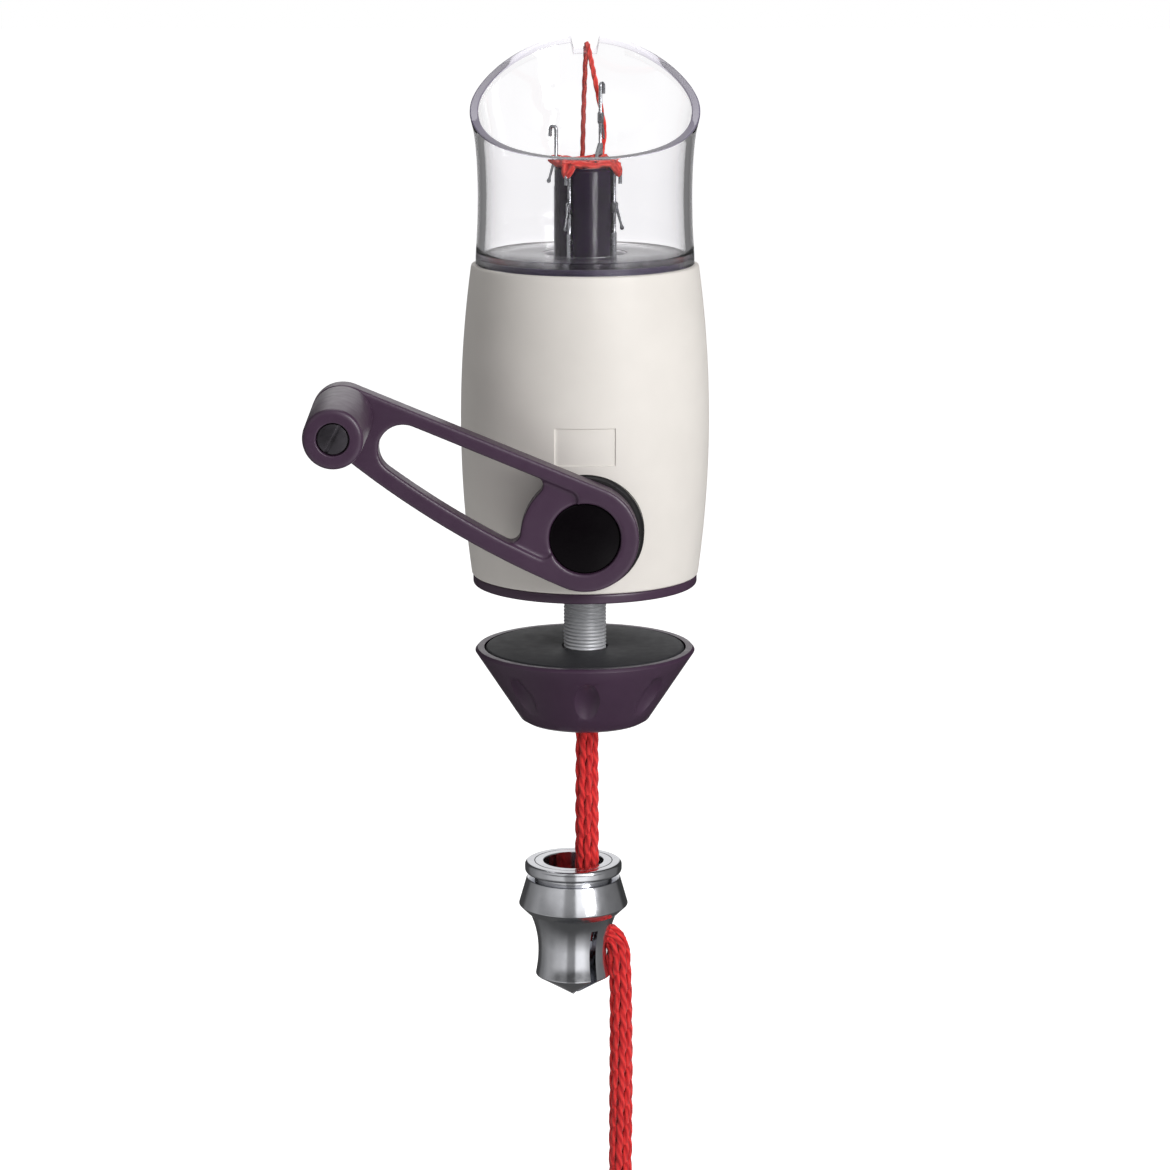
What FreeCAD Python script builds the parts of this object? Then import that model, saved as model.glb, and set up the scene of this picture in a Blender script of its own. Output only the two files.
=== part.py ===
"""Hand-cranked i-cord knitting mill that clamps to a table edge.

Origin: centre of the base's underside, where the base meets the table top. +Z up, the crank on -Y.
Every length is in millimetres and every angle in degrees.
"""
import FreeCAD, Part
import PartDesign  # noqa: F401  (registers the PartDesign objects)
import Sketcher
import math
import os
import re

V = FreeCAD.Vector
Z_AXIS, Y_AXIS = V(0, 0, 1), V(0, 1, 0)
doc = FreeCAD.newDocument("icord_mill")
sheet = doc.addObject("Spreadsheet::Sheet", "Sizes")

# ---------------------------------------------------------------- driving dimensions
SIZES = [
    # clearances
    ("running_gap", 0.05, "shaft in its bore, on the radius"),
    ("slip_gap", 0.1, "pieces that only slip together"),
    ("free_gap", 0.4, "moving pieces that must not touch"),
    ("cut_over", 1.0, "cutters reach this far past a face"),
    ("screw_end_gap", 0.5, "blind holes are this much deeper than their screws"),
    # table clamp stack
    ("table_thick", 18.0, "board gripped between base and clamp pad"),
    ("pad_lip", 0.3, "base pad stands out of the base plate"),
    ("base_pad_thick", 1.2, ""),
    ("base_edge", 2.5, "rim of the base plate outside the pad"),
    ("base_pad_hole_r", 13.5, ""),
    ("base_r", 31.25, ""),
    ("base_top_z", 3.1, ""),
    ("base_round", 0.4, "rounded top edge of the base plate"),
    # barrel shell
    ("shell_foot_r", 31.55, ""),
    ("shell_belly_r", 34.4, ""),
    ("shell_belly_z", 43.0, ""),
    ("shell_top_r", 31.3, ""),
    ("shell_top_z", 89.6, ""),
    ("shell_wall", 1.8, ""),
    ("badge_wide", 16.6, "bare recessed field on the front"),
    ("badge_tall", 10.1, ""),
    ("badge_z", 44.0, ""),
    ("badge_deep", 0.4, ""),
    # clear guard cup
    ("cup_skirt_r", 29.4, "skirt that plugs into the shell"),
    ("cup_skirt_z", 86.6, ""),
    ("cup_foot_r", 30.1, ""),
    ("cup_waist_r", 29.4, ""),
    ("cup_waist_z", 109.0, ""),
    ("cup_flare_r", 30.2, ""),
    ("cup_flare_z", 124.5, ""),
    ("cup_mid_r", 32.2, ""),
    ("cup_mid_z", 133.5, ""),
    ("cup_lip_r", 33.4, ""),
    ("cup_wall", 2.3, ""),
    ("cup_bow", 0.2, "the wall's sides bow in by this much"),
    ("cup_floor_thick", 1.7, ""),
    ("cup_hole_r", 11.5, "hole in cup floor and deck round the cylinder"),
    ("rim_front_z", 120.8, "rim height at the front, middle and back"),
    ("rim_mid_z", 130.3, ""),
    ("rim_back_z", 149.4, ""),
    ("notch_wide", 7.3, "yarn notch at the back of the rim"),
    ("notch_deep", 2.7, ""),
    ("notch_sag", 0.4, "rounded floor of the notch"),
    # deck and cams
    ("deck_r", 26.9, ""),
    ("deck_top_z", 91.0, ""),
    ("deck_thick", 3.6, ""),
    ("cam_bore_r", 12.5, ""),
    ("cam_r", 16.5, ""),
    ("cam_flange_r", 25.0, ""),
    ("cam_flange_thick", 2.5, ""),
    ("cam_play", 1.1, "room above and below a needle's butt"),
    ("cam_turn", 8.0, "turn of the cam rise away from +Y towards +X"),
    # inner frame
    ("frame_r", 26.8, ""),
    ("floor_thick", 4.0, ""),
    ("post_r", 3.4, ""),
    ("post_circle_r", 21.0, ""),
    ("plate_z", 35.0, "underside of the bearing plate"),
    ("plate_thick", 3.6, ""),
    ("washer_thick", 1.35, ""),
    ("screw_r", 1.5, "M3 screws"),
    ("screw_head_r", 2.8, ""),
    ("screw_head_tall", 1.8, ""),
    ("base_screw_head", 1.2, "low heads under the base pad"),
    ("base_screw_long", 4.2, ""),
    ("post_screw_long", 11.0, ""),
    ("standoff_screw_long", 10.0, ""),
    ("bearing_screw_head_r", 1.9, ""),
    ("bearing_screw_x", 7.5, ""),
    ("bearing_screw_bite", 4.0, "thread in the crank's bearing"),
    # needle cylinder
    ("cyl_r", 8.3, ""),
    ("cyl_bore_r", 5.5, ""),
    ("cyl_top_z", 116.3, ""),
    ("cyl_foot_z", 40.0, ""),
    ("cyl_round", 0.8, "rounded top edge of the cylinder"),
    ("bore_round", 0.5, ""),
    ("cyl_flange_r", 11.8, ""),
    ("cyl_flange_thick", 2.4, ""),
    ("hub_r", 8.5, "gear hub that runs in the bearing plate"),
    ("spigot_r", 6.6, ""),
    ("spigot_tall", 3.5, ""),
    ("slot_floor_r", 6.8, ""),
    ("slot_foot_z", 45.0, ""),
    ("needle_turn", -28.0, "azimuth of the first needle from +X"),
    ("rise_low", -0.8, "hook tops of the two lowest needles above the cylinder's top"),
    ("rise_mid", 11.0, "hook top of the rising needle above the cylinder's top"),
    ("rise_high", 22.4, "hook top of the highest needle above the cylinder's top"),
    # latch needles
    ("wire_r", 0.5, ""),
    ("stem_r", 9.0, "distance of the stem wire from the cylinder axis"),
    ("hook_wide", 1.8, "from stem wire to hook tip wire, centre to centre"),
    ("hook_drop", 3.4, "hook tip below the top of the hook's bend"),
    ("blade_thick", 1.0, ""),
    ("blade_inner_r", 6.95, ""),
    ("blade_top", 16.8, "top of the flat shank below the hook top"),
    ("blade_ramp", 2.5, "slanted top of the flat shank"),
    ("blade_tail", 1.5, "shank below the butt"),
    ("wire_sink", 0.6, "stem wire goes this far into the flat shank"),
    ("butt_r", 12.1, "butt reaches this far from the cylinder axis"),
    ("butt_drop", 35.7, "butt's underside below the deck when the hook is level with the cylinder"),
    ("butt_tall", 3.4, ""),
    ("cheek_top", 8.2, "thickened stretch that holds the latch"),
    ("cheek_low", 11.6, ""),
    ("cheek_deep", 1.5, ""),
    ("cheek_taper", 0.5, ""),
    ("cheek_swell", 0.2, "the cheeks are this much thicker than the shank"),
    ("groove_room", 1.0, "latch groove beyond the cheeks"),
    ("pivot_drop", 9.3, "latch pivot below the hook top"),
    ("latch_slot", 0.46, ""),
    ("latch_thick", 0.36, ""),
    ("latch_long", 7.0, ""),
    ("latch_half", 0.28, "half width of the latch's bar"),
    ("latch_eye_r", 0.42, ""),
    ("spoon_long", 1.6, "spoon at the latch's end"),
    ("spoon_peak", 0.9, "widest place of the spoon from the latch's end"),
    ("spoon_half", 0.5, ""),
    ("latch_lean", 17.0, "open latch leans this far out of the vertical"),
    ("rivet_r", 0.22, ""),
    # crank drive
    ("crank_z", 20.6, "crank shaft height"),
    ("shaft_r", 3.5, ""),
    ("bush_r", 5.5, ""),
    ("bush_back", 19.2, "distances in front of the cylinder axis"),
    ("boss_back", 20.0, ""),
    ("boss_out", 0.2, "boss stands out of the frame's rim"),
    ("boss_half", 9.5, ""),
    ("bearing_out", 0.2, "crank bearing stands out of the shell's belly"),
    ("bearing_r", 16.0, ""),
    ("bearing_round", 0.8, ""),
    ("bearing_lip", 1.2, "bearing's front wall over the bush"),
    ("shaft_tip", 9.9, "shaft's inner end in front of the cylinder axis"),
    ("shaft_flat", 2.6, "flat on the shaft's end, from its axis"),
    ("gear_module", 1.2, ""),
    ("gear_teeth", 20, ""),
    ("gear_inner", 12.6, "cone distance of the teeth's inner end"),
    ("gear_share", 0.42, "tooth thickness as a share of the pitch"),
    ("gear_slope", 22.0, "slope of the tooth flanks"),
    ("gear_rim", 1.6, "solid behind the tooth roots"),
    ("bearing_inner_r", 4.9, "hub behind the pinion"),
    # crank
    ("throw", 72.7, "crank axis to knob axis"),
    ("arm_rise", 27.3, "arm above the horizontal, towards -X"),
    ("arm_thick", 8.0, ""),
    ("arm_hub_r", 14.5, ""),
    ("arm_end_r", 8.4, ""),
    ("arm_belly_radius", 250.0, "radius of the arm's lower edge"),
    ("strut_top", 3.9, ""),
    ("strut_low", 4.7, ""),
    ("window_end_r", 6.7, ""),
    ("web_r", 17.4, "web between hub recess and window"),
    ("web_inner_r", 9.0, "web's pocket reaches into the cap's recess"),
    ("web_drop", 1.2, "web's front below the rim of the arm"),
    ("web_corner_r", 2.5, ""),
    ("cap_well_r", 9.6, ""),
    ("cap_well_deep", 2.6, ""),
    ("cap_thick", 1.4, ""),
    ("cap_round", 0.3, ""),
    ("hub_screw_head", 1.4, ""),
    ("hub_screw_long", 9.0, ""),
    ("arm_web", 1.2, "arm left between shaft end and hub screw"),
    ("knob_back_r", 8.35, ""),
    ("knob_front_r", 7.9, ""),
    ("knob_long", 37.0, ""),
    ("knob_round", 0.7, ""),
    ("knob_pin_r", 3.0, ""),
    ("knob_well_r", 4.3, ""),
    ("knob_well_deep", 2.4, ""),
    ("knob_head_tall", 1.6, ""),
    ("knob_thread_r", 2.5, ""),
    ("knob_screw_long", 7.0, "thread in the arm"),
    ("slot_wide", 0.9, "screwdriver slots"),
    # table clamp
    ("bolt_r", 6.0, "M12 x 1 thread, outside"),
    ("bolt_bore_r", 4.3, ""),
    ("bolt_end_z", -36.0, ""),
    ("bolt_hex", 19.0, "across flats"),
    ("bolt_head_tall", 4.0, ""),
    ("bolt_chamfer", 0.6, ""),
    ("guide_foot_r", 8.0, ""),
    ("guide_foot_tall", 1.5, ""),
    ("thread_gap", 0.07, ""),
    ("pad_r", 27.9, ""),
    ("pad_thick", 2.6, ""),
    ("pad_round", 0.4, ""),
    ("pad_shelf", 2.5, "ledge in the knob that carries the pad"),
    ("clamp_lip_r", 30.8, ""),
    ("clamp_lip_drop", 0.2, "lip below the pad's top face"),
    ("clamp_lip_tall", 0.8, ""),
    ("clamp_lip_round", 0.7, ""),
    ("clamp_foot_r", 17.6, ""),
    ("clamp_foot_z", -39.2, ""),
    ("clamp_foot_round", 0.9, ""),
    ("clamp_foot_out", 0.6, "cone's radius over the rounded foot, beyond the foot's"),
    ("clamp_wall", 3.0, ""),
    ("clamp_boss_r", 11.0, ""),
    ("insert_r", 8.5, ""),
    ("flutes", 8, ""),
    ("flute_wide", 7.5, ""),
    ("flute_tall", 14.0, ""),
    ("flute_deep", 1.5, ""),
    ("flute_turn", -88.7, "azimuth of the first flute"),
    # knitting, weight and yarn
    ("cord_r", 3.25, "knitted cord"),
    ("stitch_r", 6.8, "ring of stitches on the cylinder's top"),
    ("stitch_tall", 1.3, ""),
    ("draw_top", 4.0, "the knitting starts to narrow this far below the cylinder's top"),
    ("draw_low", 18.0, "and has become the cord here"),
    ("knit_wall", 1.0, ""),
    ("funnel_deep", 6.0, "hollow at the knitting's start"),
    ("weight_x", -3.3, ""),
    ("weight_top_z", -80.6, ""),
    ("weight_ring_r", 13.8, ""),
    ("weight_ring_tall", 3.3, ""),
    ("ring_round", 0.9, ""),
    ("weight_mouth_r", 8.5, ""),
    ("collar_top_r", 13.3, ""),
    ("collar_r", 15.55, ""),
    ("collar_drop", 4.7, "collar's top below the weight's top"),
    ("collar_tall", 7.8, ""),
    ("collar_foot_r", 13.2, ""),
    ("collar_foot_tall", 2.4, ""),
    ("core_r", 11.0, "weight core inside ring and collar"),
    ("flare_r", 12.6, "waist's flare under the collar"),
    ("waist_bow", 0.6, ""),
    ("waist_r", 10.05, ""),
    ("waist_drop", 26.1, ""),
    ("tail_r", 10.8, ""),
    ("tail_drop", 33.4, ""),
    ("tip_drop", 39.9, ""),
    ("weight_wall", 2.3, ""),
    ("slit_wide", 2.1, ""),
    ("slit_top_drop", 18.4, ""),
    ("slit_turn", -57.0, "azimuth of the slit"),
    ("port_wide", 7.4, "side port that the cord leaves by"),
    ("port_top_drop", 17.9, ""),
    ("port_low_drop", 27.2, ""),
    ("yarn_r", 0.72, ""),
]
for row, (alias, number, note) in enumerate(SIZES, start=1):
    sheet.set(f"A{row}", alias)
    sheet.set(f"B{row}", str(number))
    sheet.set(f"C{row}", note)
    sheet.setAlias(f"B{row}", alias)
doc.recompute()
ALIASES = {alias for alias, _, _ in SIZES}


def val(expr):
    """Value of a spreadsheet expression."""
    return float(sheet.evalExpression(str(expr)))


def bound(expr):
    """The same expression with its cells named in full, for setExpression."""
    return re.sub(r"[a-z_][a-z_0-9]*", lambda w: f"Sizes.{w[0]}" if w[0] in ALIASES else w[0], str(expr))


# ---------------------------------------------------------------- building blocks
def new_body(label, turn=None, about=Z_AXIS, x="0", y="0", z="0"):
    """An empty body, turned about an axis and moved, all bound to the sheet."""
    body = doc.addObject("PartDesign::Body", label)
    body.Label = label
    if turn is not None:
        body.Placement = FreeCAD.Placement(V(0, 0, 0), FreeCAD.Rotation(about, 10))
        body.setExpression("Placement.Rotation.Angle", bound(turn))
    for letter, expr in (("x", x), ("y", y), ("z", z)):
        if expr != "0":
            body.setExpression(f"Placement.Base.{letter}", bound(expr))
    return body


def new_sketch(body, plane, offset="0"):
    sketch = body.newObject("Sketcher::SketchObject", "Sketch")
    origin_plane = next(f for f in body.Origin.OriginFeatures if f.Role == plane)
    sketch.AttachmentSupport = [(origin_plane, "")]
    sketch.MapMode = "FlatFace"
    if offset != "0":
        sketch.setExpression("AttachmentOffset.Base.z", bound(offset))
    return sketch


def constrain(sketch, kind, expr, *where):
    number = sketch.addConstraint(Sketcher.Constraint(kind, *where, val(expr)))
    sketch.setExpression(f"Constraints[{number}]", bound(expr))


def pin(sketch, geometry, end, across, up):
    """Ties a sketch point to its place from the sketch's origin."""
    constrain(sketch, "DistanceX", across, -1, 1, geometry, end)
    constrain(sketch, "DistanceY", up, -1, 1, geometry, end)


def draw_outline(sketch, corners):
    """A closed outline. A corner is (across, up), or (across, up, bulge across, bulge up) where the
    side that leaves it is an arc through the bulge point."""
    at = [V(val(c[0]), val(c[1]), 0) for c in corners]
    first = sketch.GeometryCount
    for i, corner in enumerate(corners):
        start, end = at[i], at[(i + 1) % len(at)]
        if len(corner) == 2:
            sketch.addGeometry(Part.LineSegment(start, end), False)
        else:
            through = V(val(corner[2]), val(corner[3]), 0)
            sketch.addGeometry(Part.Arc(start, through, end), False)
    ends = []
    for i, corner in enumerate(corners):
        # Sketcher arcs run anticlockwise, so an arc drawn clockwise has its ends swapped
        swapped = len(corner) == 4 and sketch.getPoint(first + i, 1).distanceToPoint(at[i]) > 1e-6
        ends.append((2, 1) if swapped else (1, 2))
    for i, corner in enumerate(corners):
        after = (i + 1) % len(corners)
        sketch.addConstraint(
            Sketcher.Constraint("Coincident", first + i, ends[i][1], first + after, ends[after][0])
        )
        pin(sketch, first + i, ends[i][0], corner[0], corner[1])
    for i, corner in enumerate(corners):
        if len(corner) == 4:
            bulge = sketch.addGeometry(Part.Point(V(val(corner[2]), val(corner[3]), 0)), True)
            pin(sketch, bulge, 1, corner[2], corner[3])
            sketch.addConstraint(Sketcher.Constraint("PointOnObject", bulge, 1, first + i))


def draw_circle(sketch, across, up, radius):
    circle = sketch.addGeometry(Part.Circle(V(val(across), val(up), 0), V(0, 0, 1), val(radius)), False)
    pin(sketch, circle, 3, across, up)
    constrain(sketch, "Radius", radius, circle)


def revolve(body, corners, cut=False, plane="XZ_Plane", axis="V_Axis", angle=360):
    """Turns an outline round a sketch axis; cut=True grooves the body instead."""
    sketch = new_sketch(body, plane)
    draw_outline(sketch, corners)
    kind = "PartDesign::Groove" if cut else "PartDesign::Revolution"
    feature = body.newObject(kind, "Turned")
    feature.Profile = sketch
    feature.ReferenceAxis = (sketch, [axis])
    if angle == 360:
        feature.Angle = 360
    else:
        feature.setExpression("Angle", bound(angle))
        feature.Midplane = True
    return feature


def extrude(body, sketch, length, cut=False, both=False, back=False):
    feature = body.newObject("PartDesign::Pocket" if cut else "PartDesign::Pad", "Extruded")
    feature.Profile = sketch
    feature.setExpression("Length", bound(length))
    feature.Midplane = both
    feature.Reversed = back
    return feature


def cylinder_along(body, plane, offset, length, spots, radius, cut=False, back=False):
    """Round pads or pockets: one circle at each (across, up) spot."""
    sketch = new_sketch(body, plane, offset)
    for across, up in spots:
        draw_circle(sketch, across, up, radius)
    return extrude(body, sketch, length, cut=cut, back=back)


def around(body, feature, count):
    """Repeats a feature about the body's Z axis."""
    pattern = body.newObject("PartDesign::PolarPattern", "Around")
    pattern.Originals = [feature]
    z_line = next(f for f in body.Origin.OriginFeatures if f.Role == "Z_Axis")
    pattern.Axis = (z_line, [""])
    pattern.Angle = 360
    pattern.setExpression("Occurrences", bound(count))
    body.Tip = pattern
    return pattern


def turned(label, corners, **place):
    body = new_body(label, **place)
    revolve(body, corners)
    return body


def feature_part(label, shape, placement=None):
    """A sub-part whose shape is made in code."""
    part = doc.addObject("Part::Feature", label)
    part.Label = label
    part.Shape = shape
    part.Placement = placement or FreeCAD.Placement()
    return part


def spots_on_circle(radius, angles):
    return [(f"({radius}) * cos({a})", f"({radius}) * sin({a})") for a in angles]


def screw_group(label, spots, head_z, length, head_up=True, head_tall="screw_head_tall"):
    """Pan-head screws along Z; head_z is the face under the heads."""
    body = new_body(label)
    sketch = new_sketch(body, "XY_Plane", head_z)
    for across, up in spots:
        draw_circle(sketch, across, up, "screw_head_r")
    extrude(body, sketch, head_tall, back=not head_up)
    shanks = new_sketch(body, "XY_Plane", head_z)
    for across, up in spots:
        draw_circle(shanks, across, up, "screw_r")
    extrude(body, shanks, length, back=head_up)
    return body


# ---------------------------------------------------------------- base and barrel
BASE_PAD_R = "(base_r - base_edge)"


def base_plate():
    body = turned("base_plate", [
        ("bolt_r + slip_gap", "pad_lip"),
        ("base_pad_hole_r - slip_gap", "pad_lip"),
        ("base_pad_hole_r - slip_gap", "base_pad_thick"),
        (f"{BASE_PAD_R} + slip_gap", "base_pad_thick"),
        (f"{BASE_PAD_R} + slip_gap", "pad_lip"),
        ("base_r - base_round", "pad_lip"),
        ("base_r", "pad_lip + base_round"),
        ("base_r", "base_top_z - base_round"),
        ("base_r - base_round", "base_top_z"),
        ("bolt_r + slip_gap", "base_top_z"),
    ])
    cylinder_along(body, "XY_Plane", "0", "base_pad_thick + base_screw_head + slip_gap",
                   BASE_SCREW_SPOTS, "screw_head_r + slip_gap", cut=True, back=True)
    cylinder_along(body, "XY_Plane", "0", "base_top_z + cut_over", BASE_SCREW_SPOTS,
                   "screw_r + running_gap", cut=True, back=True)


def base_pad():
    turned("base_pad", [
        ("base_pad_hole_r", "0"), (BASE_PAD_R, "0"),
        (BASE_PAD_R, "base_pad_thick"), ("base_pad_hole_r", "base_pad_thick"),
    ])


def body_shell():
    body = turned("body_shell", [
        ("shell_foot_r", "base_top_z", "shell_belly_r", "shell_belly_z"),
        ("shell_top_r", "shell_top_z"),
        ("cup_skirt_r + slip_gap", "shell_top_z"),
        ("cup_skirt_r + slip_gap", "cup_skirt_z - slip_gap", "shell_belly_r - shell_wall", "shell_belly_z"),
        ("shell_foot_r - shell_wall", "base_top_z"),
    ])
    cylinder_along(body, "XZ_Plane", "frame_r / 2", "shell_belly_r", [("0", "crank_z")],
                   "bearing_r + slip_gap", cut=True, back=True)
    half_tall = "badge_tall / 2"
    revolve(body, [
        ("-(shell_belly_r + 2 * badge_deep)", f"badge_z - {half_tall}"),
        ("-(shell_belly_r - badge_deep)", f"badge_z - {half_tall}"),
        ("-(shell_belly_r - badge_deep)", f"badge_z + {half_tall}"),
        ("-(shell_belly_r + 2 * badge_deep)", f"badge_z + {half_tall}"),
    ], cut=True, plane="YZ_Plane", angle="2 * asin(badge_wide / 2 / shell_belly_r)")


# ---------------------------------------------------------------- inner frame
POST_ANGLES = (90, 210, 330)
STANDOFF_ANGLES = (30, 150, 270)
POST_SPOTS = spots_on_circle("post_circle_r", POST_ANGLES)
STANDOFF_SPOTS = spots_on_circle("post_circle_r", STANDOFF_ANGLES)
BASE_SCREW_SPOTS = spots_on_circle("post_circle_r", (30, 150, 270))
FLOOR_TOP = "(base_top_z + floor_thick)"
BOSS_FRONT = "(frame_r + boss_out)"
BEARING_FRONT = "(shell_belly_r + bearing_out)"
PLATE_TOP = "(plate_z + plate_thick)"
CAM_FLANGE_Z = "(deck_top_z - deck_thick - cam_flange_thick)"
BEARING_SCREW_SPOTS = [("-bearing_screw_x", "crank_z"), ("bearing_screw_x", "crank_z")]


def hexagon(sketch, across_flats):
    corner = f"({across_flats}) / 2 / cos(30)"
    draw_outline(sketch, [(f"{corner} * cos({a})", f"{corner} * sin({a})") for a in range(0, 360, 60)])


def gear_frame():
    body = new_body("gear_frame")
    cylinder_along(body, "XY_Plane", "base_top_z", "floor_thick", [("0", "0")], "frame_r")
    cylinder_along(body, "XY_Plane", "base_top_z", "plate_z - base_top_z", POST_SPOTS, "post_r")
    boss = new_sketch(body, "XZ_Plane", "boss_back")
    draw_outline(boss, [
        ("-boss_half", "base_top_z + floor_thick / 2"),
        ("boss_half", "base_top_z + floor_thick / 2"),
        ("boss_half", "crank_z", "0", "crank_z + boss_half"),
        ("-boss_half", "crank_z"),
    ])
    extrude(body, boss, f"{BOSS_FRONT} - boss_back")
    socket = new_sketch(body, "XY_Plane", "base_top_z - cut_over")
    hexagon(socket, "bolt_hex + 2 * slip_gap")
    extrude(body, socket, "floor_thick + 2 * cut_over", cut=True, back=True)
    cylinder_along(body, "XZ_Plane", "boss_back - cut_over", f"{BOSS_FRONT} - boss_back + 2 * cut_over",
                   [("0", "crank_z")], "bush_r + running_gap", cut=True, back=True)
    cylinder_along(body, "XZ_Plane", "boss_back - cut_over", f"{BOSS_FRONT} - boss_back + 2 * cut_over",
                   BEARING_SCREW_SPOTS, "screw_r + running_gap", cut=True, back=True)
    cylinder_along(body, "XY_Plane", "base_top_z - cut_over",
                   "base_pad_thick + base_screw_head + base_screw_long + slip_gap - base_top_z + cut_over",
                   BASE_SCREW_SPOTS, "screw_r + running_gap", cut=True, back=True)
    cylinder_along(body, "XY_Plane", f"{PLATE_TOP} - post_screw_long", "post_screw_long",
                   POST_SPOTS, "screw_r + running_gap", cut=True, back=True)


def bearing_plate():
    body = turned("bearing_plate", [
        ("hub_r + running_gap", "plate_z"), ("frame_r", "plate_z"),
        ("frame_r", PLATE_TOP), ("hub_r + running_gap", PLATE_TOP),
    ])
    cylinder_along(body, "XY_Plane", "plate_z - cut_over", "plate_thick + 2 * cut_over",
                   POST_SPOTS + STANDOFF_SPOTS,
                   "screw_r + running_gap", cut=True, back=True)


def thrust_washer():
    turned("thrust_washer", [
        ("hub_r + free_gap", PLATE_TOP), ("cyl_flange_r", PLATE_TOP),
        ("cyl_flange_r", f"{PLATE_TOP} + washer_thick"), ("hub_r + free_gap", f"{PLATE_TOP} + washer_thick"),
    ])


def standoffs():
    """Three posts that carry the upper cam and the deck, each with a peg into the cam's flange."""
    body = new_body("standoffs")
    cylinder_along(body, "XY_Plane", PLATE_TOP, f"{CAM_FLANGE_Z} - {PLATE_TOP}", STANDOFF_SPOTS, "post_r")
    cylinder_along(body, "XY_Plane", CAM_FLANGE_Z, "cam_flange_thick", STANDOFF_SPOTS, "screw_r")
    cylinder_along(body, "XY_Plane", f"{PLATE_TOP} - cut_over",
                   "standoff_screw_long - plate_thick + screw_end_gap + cut_over",
                   STANDOFF_SPOTS, "screw_r + running_gap", cut=True, back=True)


def fasteners():
    screw_group("base_screws", BASE_SCREW_SPOTS, "base_pad_thick + base_screw_head",
                "base_screw_long", head_up=False, head_tall="base_screw_head")
    screw_group("plate_screws", POST_SPOTS, PLATE_TOP, "post_screw_long - screw_end_gap")
    screw_group("standoff_screws", STANDOFF_SPOTS, "plate_z", "standoff_screw_long", head_up=False)
    screw_group("deck_screws", POST_SPOTS, CAM_FLANGE_Z, "cam_flange_thick + deck_thick / 2", head_up=False)
    bearing = new_body("bearing_screws")
    cylinder_along(bearing, "XZ_Plane", "boss_back - screw_head_tall", "screw_head_tall",
                   BEARING_SCREW_SPOTS, "bearing_screw_head_r")
    cylinder_along(bearing, "XZ_Plane", "boss_back", f"{BOSS_FRONT} - boss_back + bearing_screw_bite",
                   BEARING_SCREW_SPOTS, "screw_r")


# ---------------------------------------------------------------- cams and deck
BUTT_LOW = "(cyl_top_z - deck_top_z + butt_drop)"  # butt's underside below its hook's top
CAM_LOW = f"(cyl_top_z + rise_low - {BUTT_LOW} - cam_play)"
CAM_MID = f"(cyl_top_z + rise_mid - {BUTT_LOW} - cam_play)"
CAM_HIGH = f"(cyl_top_z + rise_high - {BUTT_LOW} - cam_play)"


def cam_profile(lift, end):
    """Side outline of the space beyond a cam's edge: the edge is a ramp across the barrel, low in
    front, high at the back, so that each needle's butt has its resting height on it."""
    first, middle = "cam_r * cos(needle_turn + cam_turn - 90)", "cam_r * cos(needle_turn + cam_turn)"
    return [
        ("-(cam_r + cut_over)", f"{CAM_LOW} + {lift}"),
        (first, f"{CAM_LOW} + {lift}"),
        (f"-({first})", f"{CAM_MID} + {lift}"),
        (middle, f"{CAM_HIGH} + {lift}"),
        ("cam_r + cut_over", f"{CAM_HIGH} + {lift}"),
        ("cam_r + cut_over", end),
        ("-(cam_r + cut_over)", end),
    ]


def lower_cam():
    body = turned("lower_cam", [
        ("cam_bore_r", PLATE_TOP), ("cam_r", PLATE_TOP),
        ("cam_r", CAM_FLANGE_Z), ("cam_bore_r", CAM_FLANGE_Z),
    ], turn="-cam_turn")
    beyond = new_sketch(body, "YZ_Plane")
    draw_outline(beyond, cam_profile("0", "deck_top_z"))
    extrude(body, beyond, "2 * (cam_r + cut_over)", cut=True, both=True)


def upper_cam():
    body = turned("upper_cam", [
        ("cam_bore_r", PLATE_TOP), ("cam_r", PLATE_TOP), ("cam_r", CAM_FLANGE_Z),
        ("cam_flange_r", CAM_FLANGE_Z), ("cam_flange_r", f"{CAM_FLANGE_Z} + cam_flange_thick"),
        ("cam_bore_r", f"{CAM_FLANGE_Z} + cam_flange_thick"),
    ], turn="-cam_turn")
    below = new_sketch(body, "YZ_Plane")
    draw_outline(below, cam_profile("butt_tall + 2 * cam_play", "0"))
    extrude(body, below, "2 * (cam_r + cut_over)", cut=True, both=True)
    angles = [f"{a} + cam_turn" for a in POST_ANGLES + STANDOFF_ANGLES]
    cylinder_along(body, "XY_Plane", f"{CAM_FLANGE_Z} - cut_over", "cam_flange_thick + 2 * cut_over",
                   spots_on_circle("post_circle_r", angles), "screw_r + running_gap", cut=True, back=True)


def needle_deck():
    body = turned("needle_deck", [
        ("cup_hole_r", "deck_top_z - deck_thick"), ("deck_r", "deck_top_z - deck_thick"),
        ("deck_r", "deck_top_z"), ("cup_hole_r", "deck_top_z"),
    ])
    cylinder_along(body, "XY_Plane", "deck_top_z - deck_thick - cut_over", "deck_thick / 2 + cut_over",
                   POST_SPOTS, "screw_r + running_gap", cut=True, back=True)


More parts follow.
